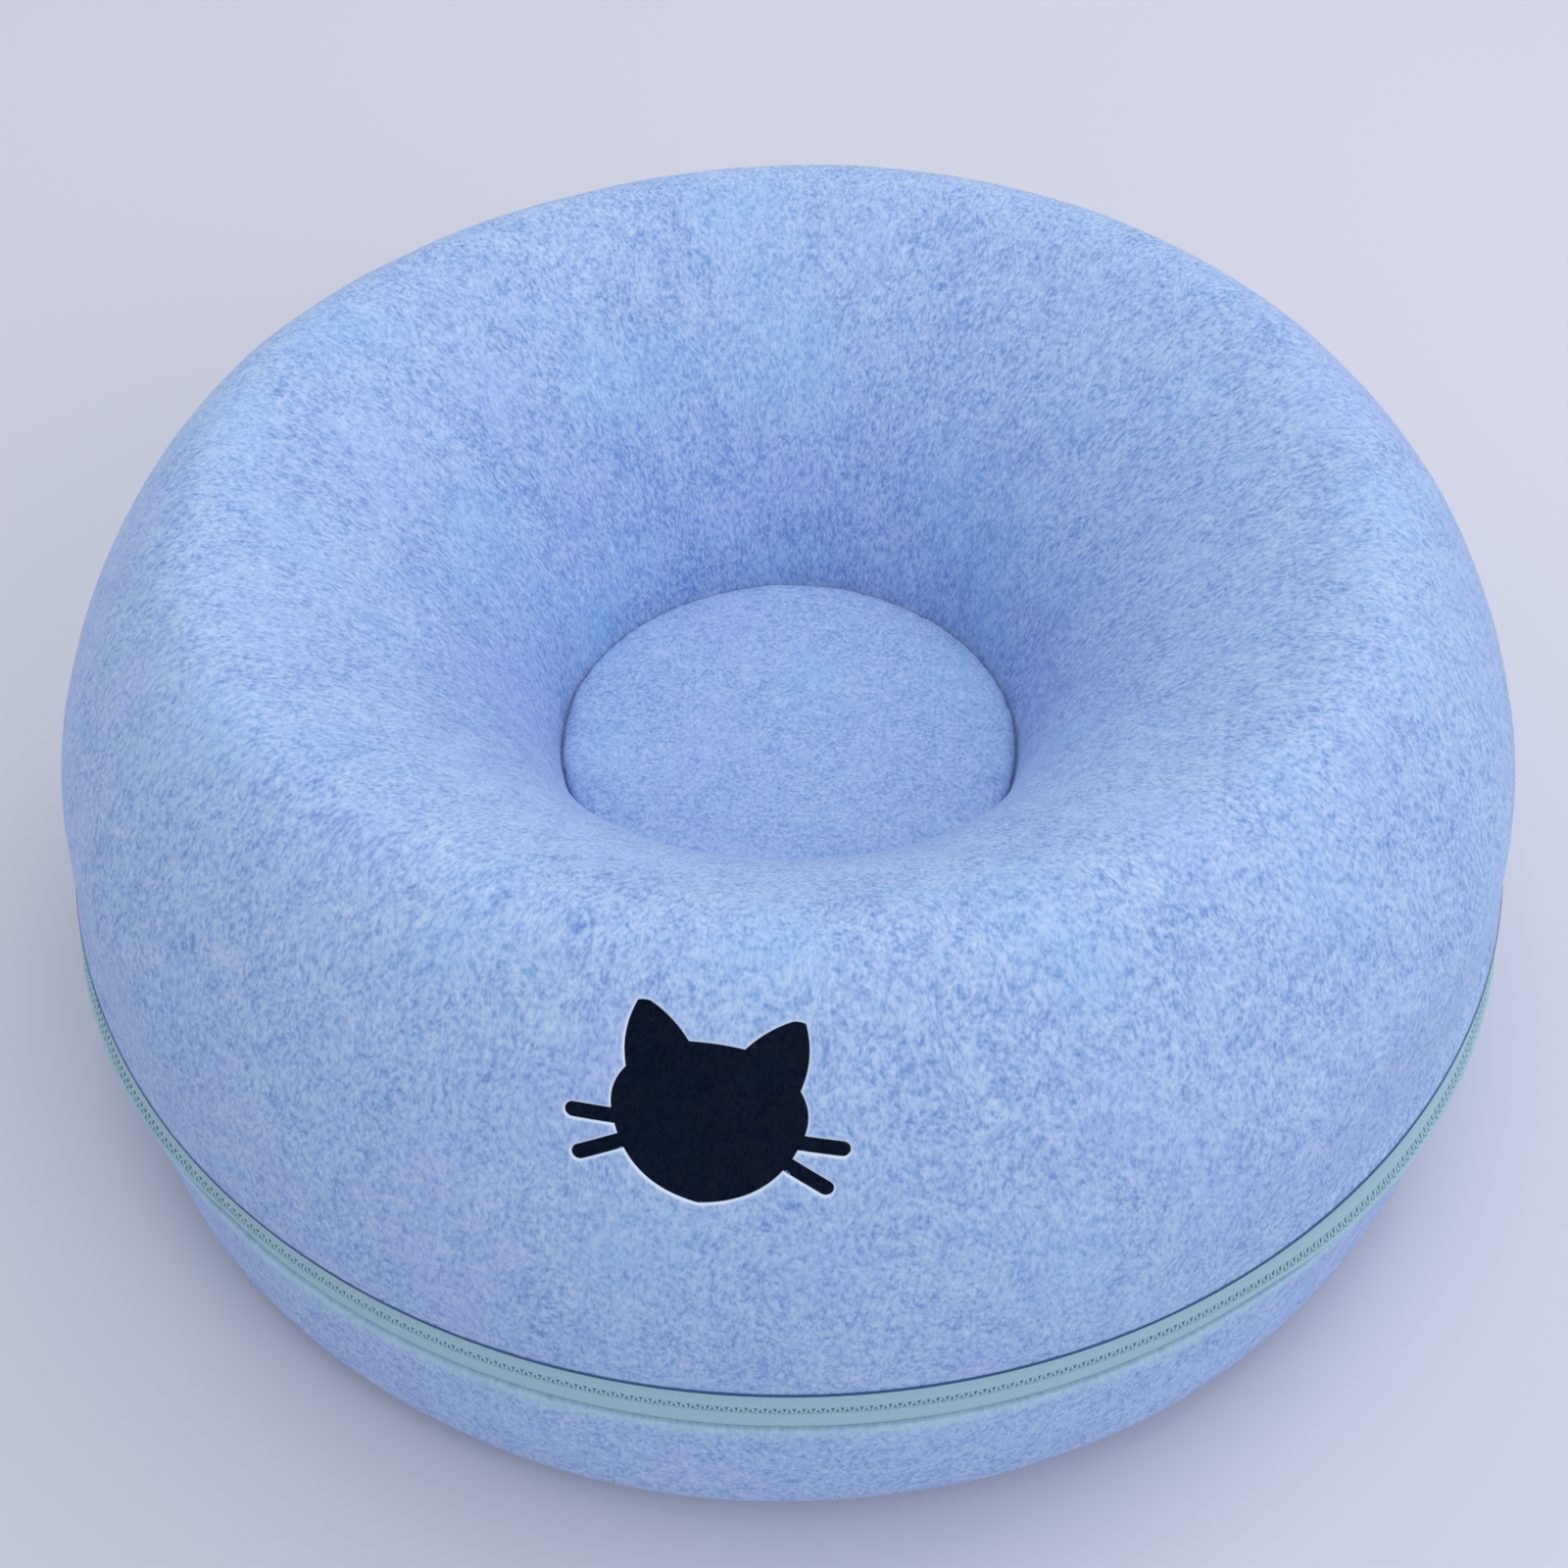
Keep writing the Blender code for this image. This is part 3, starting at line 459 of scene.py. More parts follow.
def bezier(start, start_handle, end_handle, end, count=40):
    """Points along a Bezier curve, without its first."""
    t = np.linspace(0, 1, count + 1)[1:, None]
    corners = [np.array(corner, float) for corner in (start, start_handle, end_handle, end)]
    return ((1 - t) ** 3 * corners[0] + 3 * (1 - t) ** 2 * t * corners[1]
            + 3 * (1 - t) * t ** 2 * corners[2] + t ** 3 * corners[3])


def arc(centre, radius, first, last, count=10):
    """Points along an arc, without its first."""
    angles = np.linspace(first, last, count + 1)[1:]
    return np.column_stack((centre[0] + radius * np.cos(angles), centre[1] + radius * np.sin(angles)))


def rounded(points, roundings):
    """The profile with its samples averaged with their neighbours many times."""
    points = points.copy()
    for _ in range(roundings):
        points[1:-1] = (points[:-2] + 2 * points[1:-1] + points[2:]) / 4
    return points


class Profile:
    """A turned outline of (radius, height) points, sampled evenly along its length."""
    crest_near, crest_far = 35 * MM, 85 * MM

    def __init__(self, points, spacing, outward, smoothing=0, crest_softness=0.0):
        points = np.array(points, float)
        run = np.concatenate(([0.0], np.cumsum(np.hypot(*np.diff(points, axis=0).T))))
        self.along = np.linspace(0, run[-1], math.ceil(run[-1] / spacing) + 1)
        self.points = rounded(np.column_stack([np.interp(self.along, run, axis) for axis in points.T]), smoothing)
        if crest_softness:
            soft = rounded(self.points, round(2 * (crest_softness / spacing) ** 2))
            crest = self.along[np.argmax(self.points[:, 1])]
            share = 1 - smoothstep(self.crest_near, self.crest_far, np.abs(self.along - crest))
            self.points += share[:, None] * (soft - self.points)
        self.tangents = np.gradient(self.points, axis=0)
        self.tangents /= np.linalg.norm(self.tangents, axis=1)[:, None]
        self.normals = outward * np.column_stack((-self.tangents[:, 1], self.tangents[:, 0]))
        self.length = run[-1]

    def at(self, along):
        """Radius, height and outward normal at lengths along the outline."""
        radius, height = (np.interp(along, self.along, axis) for axis in self.points.T)
        across, up = (np.interp(along, self.along, axis) for axis in self.normals.T)
        size = np.hypot(across, up)
        return radius, height, across / size, up / size


def lid_profile(felt):
    """Outside of the lid from the middle of the well over the crest to the rim."""
    bulge_up_share, crest_out_share, crest_in_share, well_up_share = 0.52, 0.33, 0.10, 0.58
    floor_height = PAD_LOW.z - CLEARANCE
    well_top = floor_height + felt.well_wall
    crest = (felt.crest_radius, LID_HIGH.z)
    bulge = (LID_HIGH.x, LID_LOW.z + felt.bulge_rise)
    fillet_centre = (felt.well_radius - felt.well_fillet, floor_height + felt.well_fillet)
    run_in = crest[0] - felt.well_radius
    run_out = bulge[0] - crest[0]
    return np.vstack((
        [(0, floor_height), (fillet_centre[0], floor_height)],
        arc(fillet_centre, felt.well_fillet, -math.pi / 2, 0),
        [(felt.well_radius, well_top)],
        bezier((felt.well_radius, well_top),
               (felt.well_radius + felt.well_lean, well_top + well_up_share * (crest[1] - well_top)),
               (crest[0] - crest_in_share * run_in, crest[1]), crest),
        bezier(crest, (crest[0] + crest_out_share * run_out, crest[1]),
               (bulge[0], bulge[1] + bulge_up_share * (crest[1] - bulge[1])), bulge),
        [(TRAY_HIGH.x, LID_LOW.z)]))


def tray_profile(felt):
    """Outside of the tray from the middle of the hump down and under the foot to the rim."""
    wall_share, sole_share, hump_sole_share, hump_wall_share = 0.97, 0.93, 0.49, 0.58
    rim = (TRAY_HIGH.x, felt.tray_rim)
    plateau = PAD_LOW.z - 2 * CLEARANCE - 2 * felt.felt
    fillet_centre = (felt.hump_radius - felt.hump_fillet, plateau - felt.hump_fillet)
    sole_run = rim[0] - felt.foot_outer
    hump_run = felt.foot_inner - felt.hump_radius
    return np.vstack((
        [(0, plateau), (fillet_centre[0], plateau)],
        arc(fillet_centre, felt.hump_fillet, math.pi / 2, 0),
        bezier((felt.hump_radius, fillet_centre[1]),
               (felt.hump_radius, fillet_centre[1] * (1 - hump_wall_share)),
               (felt.foot_inner - hump_sole_share * hump_run, 0), (felt.foot_inner, 0)),
        [(felt.foot_outer, 0)],
        bezier((felt.foot_outer, 0), (felt.foot_outer + sole_share * sole_run, 0),
               (rim[0], rim[1] * (1 - wall_share)), rim)))


def bowed(start, end, bow_share, count):
    """Points along a shallow bow to the right of the way from start to end, without its first."""
    run = end - start
    side = np.array((run[1], -run[0])) * bow_share
    t = np.linspace(0, 1, count + 1)[1:, None]
    return start + run * t + side * (4 * t * (1 - t))


def head_outline(openings):
    """Cat's head, up its right side and down its left."""
    corner_shares = ((0, -0.993), (1, -0.10), (0.90, 0.373), (0.864, 1.06), (0.74, 1.07),
                     (0.29, 0.728), (0, 0.742))
    bow_shares = (0.165, 0.12, 0.09, 0.05, 0.06, 0.01)
    counts = (26, 9, 12, 3, 12, 6)
    corners = np.array(corner_shares) * openings.head_width / 2
    right = [corners[:1]]
    for start, end, bow_share, count in zip(corners, corners[1:], bow_shares, counts):
        right.append(bowed(start, end, bow_share, count))
    right = np.vstack(right)
    left = right[-2:0:-1] * (-1, 1)
    return np.vstack((right, left))


def crossing(outline, start, end):
    """Where the way from start to end leaves an outline: the outline's segment and the point."""
    found = []
    for number, (a, b) in enumerate(zip(outline, np.roll(outline, -1, axis=0))):
        run, side = end - start, b - a
        det = run[0] * side[1] - run[1] * side[0]
        if abs(det) < 1e-14:
            continue
        gap = a - start
        t = (gap[0] * side[1] - gap[1] * side[0]) / det
        u = (gap[0] * run[1] - gap[1] * run[0]) / det
        if 0 <= t <= 1 and 0 <= u < 1:
            found.append((t, number, start + run * t))
    if not found:
        raise ValueError("a whisker doesn't reach out of the head")
    return max(found)[1:]


def with_slot(outline, root, tip, width):
    """The outline with a slot of round end added where the way from root to tip leaves it."""
    along = (tip - root) / np.linalg.norm(tip - root)
    across = np.array((-along[1], along[0])) * width / 2
    centre = tip - along * width / 2
    heading = math.atan2(along[1], along[0])
    first_segment, first = crossing(outline, root - across, centre - across)
    last_segment, last = crossing(outline, root + across, centre + across)
    side_points = 8
    way_out = np.linspace(first, centre - across, side_points)
    way_back = np.linspace(centre + across, last, side_points)
    end = arc(centre, width / 2, heading - math.pi / 2, heading + math.pi / 2, 10)[:-1]
    kept = np.roll(outline, -(last_segment + 1), axis=0)
    kept = kept[:(first_segment - last_segment) % len(outline) or len(outline)]
    return np.vstack((kept, way_out, end, way_back))


def peephole_outline(openings):
    """Head with its four whisker slots."""
    whisker_shares = (((0.80, -0.17), (1.483, -0.187)), ((0.72, -0.355), (1.358, -0.675)),
                      ((-0.80, -0.17), (-1.483, -0.187)), ((-0.72, -0.355), (-1.358, -0.675)))
    outline = head_outline(openings)
    for root, tip in whisker_shares:
        outline = with_slot(outline, np.array(root) * openings.head_width / 2,
                            np.array(tip) * openings.head_width / 2, openings.whisker)
    return outline


def entrance_outline(openings):
    """Oval of the entrance."""
    angles = np.linspace(0, FULL_TURN, 97)[:-1]
    height = openings.entrance_height * (LID_HIGH.z - LID_LOW.z)
    return np.column_stack((openings.entrance_width / 2 * np.cos(angles), height / 2 * np.sin(angles)))


def on_surface(profile, outline, origin, across, up, out):
    """Angles and lengths along the profile where lines square to a plane meet the turned surface."""
    base = origin + outline[:, :1] * across + outline[:, 1:] * up
    travel, tries = np.zeros(len(outline)), 12
    for _ in range(tries):
        point = base + travel[:, None] * out
        radius = np.hypot(point[:, 0], point[:, 1])
        gap = np.hypot(radius[:, None] - profile.points[:, 0], point[:, 2:] - profile.points[:, 1])
        nearest = np.argmin(gap, axis=1)
        ahead = np.column_stack((radius, point[:, 2])) - profile.points[nearest]
        run = profile.along[nearest] + (ahead * profile.tangents[nearest]).sum(axis=1)
        r, z, across_n, up_n = profile.at(run)
        off = (radius - r) * across_n + (point[:, 2] - z) * up_n
        normal = np.column_stack((across_n * point[:, 0] / radius, across_n * point[:, 1] / radius, up_n))
        travel -= off / (normal @ out)
    return np.mod(np.arctan2(point[:, 1], point[:, 0]), FULL_TURN), run


def grown(outline, distance):
    """The closed outline moved outwards, its corners held to a bounded reach."""
    least_mean, least_facing = 0.3, 0.6
    before, after = np.roll(outline, 1, axis=0), np.roll(outline, -1, axis=0)

    def right_of(run):
        run = run / np.maximum(np.linalg.norm(run, axis=1), 1e-9)[:, None]
        return np.column_stack((run[:, 1], -run[:, 0]))

    mean = right_of(outline - before) + right_of(after - outline)
    mean /= np.maximum(np.linalg.norm(mean, axis=1), least_mean)[:, None]
    reach = 1 / np.maximum((mean * right_of(after - outline)).sum(axis=1), least_facing)
    return outline + mean * (distance * reach)[:, None]


def distance_to(outline, points):
    """Distance of points from a closed outline, negative inside it."""
    start, end = outline, np.roll(outline, -1, axis=0)
    run = end - start
    gap = points[:, None] - start
    share = np.clip((gap * run).sum(axis=2) / (run ** 2).sum(axis=1), 0, 1)
    distance = np.linalg.norm(gap - share[:, :, None] * run, axis=2).min(axis=1)
    level = (start[:, 1] > points[:, 1:2]) != (end[:, 1] > points[:, 1:2])
    rise = np.where(run[:, 1] == 0, 1e-12, run[:, 1])
    side = points[:, :1] < start[:, 0] + run[:, 0] * (points[:, 1:2] - start[:, 1]) / rise
    inside = np.count_nonzero(level & side, axis=1) % 2 == 1
    return np.where(inside, -distance, distance)


def wander(points, wave, wave_length):
    """Slow in and out of moulded felt at places on its surface."""
    close_length, close_height, apart = wave_length * 0.37, 0.4, Vector((7, 3, 5))
    broad = [noise.noise(Vector(point) / wave_length) for point in points]
    close = [noise.noise(Vector(point) / close_length + apart) for point in points]
    return wave * (np.array(broad) + close_height * np.array(close))


PROFILE_STEP = 0.5 * MM
PROFILE_ROUNDINGS = 24
ROW_STEP = 3.0 * MM
SHELL_COLUMNS = 288
ROUND_ROWS = 5
RIM_ROWS = (6.0, 5.2, 4.7, 4.2, 3.2, 2.0, 1.15)  # millimetres back from the rim
PATCH_MARGIN = 8.0 * MM
PATCH_CLEAR = 4.2 * MM
# Loops of vertices round an opening: shares of the cut edge's rounding, then lengths beyond it.
LIP_SHARES = (0.0, 0.13, 0.5, 1.0)
LIP_BEYOND = (1.6 * MM, 2.8 * MM)
LIP_REACH = 3.4 * MM
# The felt's grain is laid on a cone, which draws it out down the slope.
GRAIN_RADIUS = 0.08
GRAIN_SPREAD = 0.40
GRAIN_STRETCH = 0.65

# The soft ring isn't quite round. Each row is degrees round the bed and millimetres: how far the zip is
# squeezed out at the bed's sides, and how far the lid's wall stands in (or, where negative, out).
SIDE_SWELL = ((0, 5.2), (14, 2.6), (30, 0.0), (150, 0.0), (166, 2.6), (180, 5.2), (193, 8.0), (205, 8.6),
              (215, 8.0), (222, 6.6), (226, 5.0), (231, 3.0), (240, 1.4), (250, 0.6), (262, 0.0), (278, 0.0),
              (290, 0.6), (300, 1.3), (309, 3.0), (314, 5.0), (318, 6.6), (325, 8.0), (335, 8.6), (347, 8.0))
OUTLINE_SLACK = ((0, 1.8), (30, 1.0), (60, 0.0), (90, 0.8), (105, 2.0), (120, 4.0), (140, 3.6), (160, 1.5),
                 (180, 1.4), (210, 1.2), (225, -1.0), (250, -0.8), (300, -0.9), (318, 1.2))
# Millimetres above the floor, and the share of the side swell there.
SWELL_SHARE = ((50.0, 0.0), (74.0, 0.32), (79.5, 0.35), (85.4, 1.0), (91.8, 0.55), (98.5, 0.28), (106.5, 0.0))

# Between which two lengths the lid's shape or look changes. RUNS, STARTS and ENDS are metres from the
# middle of the well along the outline, and BACK is metres back from the rim. GAPS are distances from a
# cut and DEPTHS depths in the felt.
WANDER_RUNS, WANDER_BACK = (0.115, 0.160), 0.045
SLACK_RUNS, SLACK_BACK = (0.24, 0.30), 0.020
LEAN_SHARE, LEAN_BACK, LEAN_END_BACK = 0.58, (0.002, 0.015), (0.075, 0.030)
FLARE_BACK, TAB_ANGLES = (6.0 * MM, 2.6 * MM), (0.10, 0.16)
FLUFF_GAPS, FLUFF_DEPTHS = (0.3 * MM, 1.0 * MM), (0.7 * MM, 1.6 * MM)
# The painted shadow along the bottom of the lid's rim lies between these two distances back from the rim.
RIM_SHADOW_BACK = (4.9 * MM, 4.2 * MM)
# Painted shade in the well grows in between the first two runs and fades out between the last two.
WELL_SHADE_STARTS, WELL_SHADE_ENDS = (0.09, 0.11), (0.14, 0.25)
# The same for the tray, where TRAY_WANDER starts at the foot's outer edge.
TRAY_WANDER, TRAY_WANDER_BACK = 0.04, 0.03
TINT_BACK, TINT_STRENGTH = (8.0 * MM, 1.6 * MM), 0.5


def sagged(table, angle):
    """Reading of a table of (degrees round the bed, millimetres)."""
    return np.interp(np.degrees(angle) % 360, *np.transpose(table), period=360) * MM


def zip_swell(angle, height):
    """How far the zip is squeezed out where the soft ring sags at its sides."""
    heights, shares = np.transpose(SWELL_SHARE)
    return sagged(SIDE_SWELL, angle) * np.interp(height, heights * MM, shares)


class Shell:
    """A turned felt sheet with rounded cut edges, as it comes from its mould and is then cut."""

    def __init__(self, profile, felt):
        self.profile, self.thick, self.round = profile, felt.felt, felt.cut_round
        self.columns = SHELL_COLUMNS
        last = profile.length - RIM_ROWS[0] * MM
        outer = [*np.linspace(ROW_STEP, last, round(last / ROW_STEP)),
                 *(profile.length - back * MM for back in RIM_ROWS[1:])]
        turns = [(self.round * (1 - math.sin(a)), self.round * (1 - math.cos(a)))
                 for a in np.linspace(0, math.pi / 2, ROUND_ROWS)]
        self.rows = [(run, 0.0) for run in outer]
        self.rows += [(profile.length - back, depth) for back, depth in turns]
        self.rows += [(profile.length - back, self.thick - depth) for back, depth in reversed(turns)]
        self.rows += [(run, self.thick) for run in reversed(outer)]
        self.outer = np.array(outer)
        self.parts, self.count, self.faces, self.skipped = [], 0, [], set()
        angles = FULL_TURN * np.arange(self.columns) / self.columns
        for run, depth in self.rows:
            self.add(run, depth, angles, 1.0)

    def add(self, run, depth, angle, cut_gap):
        """Add vertices and return the number of the first."""
        first = self.count
        self.parts.append(np.broadcast_arrays(run, depth, np.atleast_1d(angle), cut_gap))
        self.count += len(self.parts[-1][2])
        return first

    def cut(self, angles, runs, flare):
        """Cut an opening with an edge at angles and lengths along the profile; inside it is wider by flare."""
        low = int(np.searchsorted(self.outer, runs.min() - PATCH_MARGIN)) - 1
        high = int(np.searchsorted(self.outer, runs.max() + PATCH_MARGIN))
        middle = (angles.min() + angles.max()) / 2
        scale = float(self.profile.at(runs.mean())[0])
        step = FULL_TURN / self.columns
        first = math.floor((angles.min() - PATCH_MARGIN / scale) / step)
        last = math.ceil((angles.max() + PATCH_MARGIN / scale) / step)
        outline = np.column_stack(((angles - middle) * scale, runs))
        if signed_area(outline) < 0:
            outline = outline[::-1]
        border, border_places, inside = [], [], []
        for row in range(low, high + 1):
            for column in range(first, last + 1):
                place = ((column * step - middle) * scale, self.outer[row])
                if row in (low, high) or column in (first, last):
                    border.append((row, column % self.columns))
                    border_places.append(place)
                else:
                    inside.append(place)
        inside = np.array(inside)
        inside = inside[distance_to(outline, inside) > PATCH_CLEAR]
        places, edges = [*border_places, *inside.tolist()], []
        flared = {}
        for reach in [*(self.round * share for share in LIP_SHARES), *LIP_BEYOND]:
            loop = grown(outline, reach)
            start = len(places)
            wider = grown(outline, reach + flare * (1 - reach / LIP_REACH)) - loop
            flared.update((start + i, move) for i, move in enumerate(wider))
            places += loop.tolist()
            edges += [(start + i, start + (i + 1) % len(loop)) for i in range(len(loop))]
        points = [Vector(place) for place in places]
        verts, _, faces, origins, _, _ = geometry.delaunay_2d_cdt(points, edges, [], 0, 1e-7)
        verts = np.array([tuple(v) for v in verts])
        centres = np.array([verts[list(face)].mean(axis=0) for face in faces])
        kept = [list(face) for face, off in zip(faces, distance_to(outline, centres)) if off > 0]
        gap = np.maximum(distance_to(outline, verts), 0)
        into = np.clip(self.round - gap, 0, self.round)
        sunk = self.round - np.sqrt(self.round ** 2 - into ** 2)
        inner = verts + [next((flared[i] for i in origin if i in flared), (0, 0)) for origin in origins]
        starts = (self.add(verts[:, 1], sunk, verts[:, 0] / scale + middle, gap),
                  self.add(inner[:, 1], self.thick - sunk, inner[:, 0] / scale + middle, gap))
        shared = ({}, {})
        for number, origin in enumerate(origins):
            for row, column in [border[i] for i in origin if i < len(border)][:1]:
                shared[0][number] = row * self.columns + column
                shared[1][number] = (len(self.rows) - 1 - row) * self.columns + column
        for names, start in zip(shared, starts):
            self.faces += [[names.get(i, start + i) for i in face] for face in kept]
        uses = {}
        for face in kept:
            for a, b in zip(face, [*face[1:], face[0]]):
                uses.setdefault(frozenset((a, b)), []).append((a, b))
        for way in uses.values():
            a, b = way[0]
            if len(way) == 1 and not (a in shared[0] and b in shared[0]):
                self.faces.append([starts[0] + a, starts[0] + b, starts[1] + b, starts[1] + a])
        for row in range(low, high):
            for column in range(first, last):
                self.skipped.add((row, column % self.columns))
                self.skipped.add((len(self.rows) - 2 - row, column % self.columns))

    def build(self, name, material, drift, paint, painted_well_shade):
        """Make the object; drift moves its face out, paint colours edges and the last argument says where shade is
        painted.
        """
        for row in range(len(self.rows) - 1):
            for column in range(self.columns):
                if (row, column) not in self.skipped:
                    a, b = row * self.columns + column, row * self.columns + (column + 1) % self.columns
                    self.faces.append([a, b, b + self.columns, a + self.columns])
        for depth, row in ((0.0, 0), (self.thick, len(self.rows) - 1)):
            pole = self.add(0.0, depth, 0.0, 1.0)
            ring = row * self.columns
            self.faces += [[pole, ring + i, ring + (i + 1) % self.columns] for i in range(self.columns)]
        used = np.unique(np.concatenate([np.array(face) for face in self.faces]))
        number = np.zeros(self.count, int)
        number[used] = np.arange(len(used))
        faces = [number[face].tolist() for face in self.faces]
        run, depth, angle, cut_gap = (np.concatenate(part)[used] for part in zip(*self.parts))
        radius, height, across, up = self.profile.at(run)
        surface = np.column_stack((radius * np.cos(angle), radius * np.sin(angle), height))
        out = drift(surface, run, angle) - depth
        places = np.column_stack(((radius + across * out) * np.cos(angle),
                                  (radius + across * out) * np.sin(angle), height + up * out))
        obj = mesh_object(name, places, faces, material)
        grain = GRAIN_RADIUS + GRAIN_SPREAD * run
        give(obj, "flow", 'FLOAT_VECTOR', np.column_stack((grain * np.cos(angle), grain * np.sin(angle),
                                                           GRAIN_STRETCH * run)))
        give(obj, "edge", 'FLOAT_COLOR', paint(run, depth, cut_gap))
        give(obj, "painted_well_shade", 'FLOAT', painted_well_shade(run))
        return obj


def signed_area(outline):
    """Area of a closed outline, positive when it runs anticlockwise."""
    after = np.roll(outline, -1, axis=0)
    return float((outline[:, 0] * after[:, 1] - outline[:, 1] * after[:, 0]).sum() / 2)


def placed(name, data):
    """An object in the scene for a mesh, a lamp or a camera."""
    obj = bpy.data.objects.new(name, data)
    bpy.context.scene.collection.objects.link(obj)
    return obj


def mesh_object(name, places, faces, material):
    """A smooth mesh object with all its faces turned out."""
    mesh = bpy.data.meshes.new(name)
    mesh.from_pydata(np.asarray(places).tolist(), [], faces)
    shape = bmesh.new()
    shape.from_mesh(mesh)
    bmesh.ops.recalc_face_normals(shape, faces=shape.faces)
    shape.to_mesh(mesh)
    shape.free()
    mesh.shade_smooth()
    mesh.materials.append(material)
    return placed(name, mesh)


def ring_faces(index):
    """Faces between rows of vertex numbers that each close on themselves."""
    return np.stack((index[:-1], np.roll(index[:-1], -1, axis=1), np.roll(index[1:], -1, axis=1), index[1:]),
                    axis=-1).reshape(-1, 4).tolist()


def give(obj, name, kind, values):
    """Give each vertex a number, a vector or a colour."""
    attribute = obj.data.attributes.new(name, kind, 'POINT')
    field = {'FLOAT': "value", 'FLOAT_VECTOR': "vector", 'FLOAT_COLOR': "color"}[kind]
    attribute.data.foreach_set(field, np.ascontiguousarray(values, np.float32).ravel())


def evaluated_mesh(obj):
    """A new mesh of a piece with its modifiers applied."""
    return bpy.data.meshes.new_from_object(obj.evaluated_get(bpy.context.evaluated_depsgraph_get()))


def modified(obj, kind, **settings):
    """Give a piece a modifier and apply it."""
    modifier = obj.modifiers.new(kind.lower(), kind)
    for name, value in settings.items():
        setattr(modifier, name, value)
    shaped = evaluated_mesh(obj)
    shaped.materials.clear()
    shaped.materials.append(obj.data.materials[0])
    obj.modifiers.clear()
    obj.data = shaped
    shaped.polygons.foreach_set("use_smooth", np.ones(len(shaped.polygons), bool))


def places_of(obj):
    """Where a piece's vertices are."""
    places = np.empty(3 * len(obj.data.vertices))
    obj.data.vertices.foreach_get("co", places)
    return places.reshape(-1, 3)


def filled(obj, pressure, frames):
    """Let a filling push a closed cover out, as cloth, without weight."""
    scene = bpy.context.scene
    modifier = obj.modifiers.new("filling", 'CLOTH')
    cloth = modifier.settings
    cloth.use_pressure = True
    cloth.uniform_pressure_force = pressure
    cloth.effector_weights.gravity = 0.0
    modifier.point_cache.frame_start, modifier.point_cache.frame_end = 1, frames
    for frame in range(1, frames + 1):
        scene.frame_set(frame)
    shaped = evaluated_mesh(obj)
    places = np.empty(3 * len(shaped.vertices))
    shaped.vertices.foreach_get("co", places)
    bpy.data.meshes.remove(shaped)
    obj.modifiers.clear()
    obj.data.vertices.foreach_set("co", places)
    scene.frame_set(1)


def settle(obj, body, slot, *nodes):
    """Let a piece ride on its body and stand for CAD nodes; its slot is not used."""
    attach(obj, body)
    if nodes:
        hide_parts(*nodes)
    return obj


def front_frame(profile, height):
    """Origin, across, up and out directions on the front of the lid at a height."""
    crest = int(np.argmax(profile.points[:, 1]))
    flank = profile.points[crest:, 1]
    run = float(np.interp(-height, -flank, profile.along[crest:]))
    radius, level, out_across, out_up = (float(v) for v in profile.at(run))
    out = np.array((0, -out_across, out_up))
    up = np.array((0, out_up, out_across))
    return np.array((0, -radius, level)), np.array((1.0, 0, 0)), up, out


def peephole_edge(profile, openings):
    """Edge of the peephole on the lid."""
    height = LID_LOW.z + openings.head_rise * (LID_HIGH.z - LID_LOW.z)
    origin, across, up, out = front_frame(profile, height)
    turn, rise = math.cos(openings.head_roll), math.sin(openings.head_roll)
    return on_surface(profile, peephole_outline(openings), origin, turn * across + rise * up,
                      turn * up - rise * across, out)


def entrance_edge(profile, openings):
    """Edge of the entrance on the lid."""
    height = openings.entrance_height * (LID_HIGH.z - LID_LOW.z)
    origin = np.array((0, LID_HIGH.x, LID_LOW.z + openings.entrance_rise + height / 2))
    return on_surface(profile, entrance_outline(openings), origin, np.array((1.0, 0, 0)),
                      np.array((0, 0, 1.0)), np.array((0, 1.0, 0)))


def felt_of(felt):
    """The shells' felt."""
    return made_once("needled polyester felt", felt_material, felt.pale, felt.mid, felt.dark, felt.cut,
                     felt.painted_rim_shadow, felt.mint)


def tape_of(zip_settings):
    """The zip's tape."""
    return made_once("woven polyester tape", tape_material, zip_settings.tape_light, zip_settings.tape_shade)


def turned_band(name, section, first, last, steps, material):
    """A band of closed section turned from one angle to another, with its weave's coordinates."""
    section = np.asarray(section, float)
    turns = np.linspace(first, last, steps + 1)
    count, around = len(turns), len(section)
    radius = section[:, 0] + zip_swell(turns[:, None], section[:, 1])
    places = np.stack((np.cos(turns)[:, None] * radius, np.sin(turns)[:, None] * radius,
                       np.broadcast_to(section[:, 1], (count, around))), axis=-1)
    index = np.arange(count * around).reshape(count, around)
    faces = ring_faces(index)
    if last - first < FULL_TURN - 1e-6:
        faces += [index[0].tolist(), index[-1].tolist()]
    obj = mesh_object(name, places.reshape(-1, 3), faces, material)
    weave = np.stack((np.broadcast_to(turns[:, None] * section[:, 0].mean(), (count, around)),
                      np.broadcast_to(section[:, 1], (count, around)), np.zeros((count, around))), axis=-1)
    give(obj, "weave", 'FLOAT_VECTOR', weave.reshape(-1, 3))
    return obj


def band_section(outer, thick, spacing):
    """Closed section of a band from its outer line of (radius, height) points."""
    line = Profile(outer, spacing, 1).points
    inner = line - (thick, 0)
    return np.vstack((line, inner[::-1]))


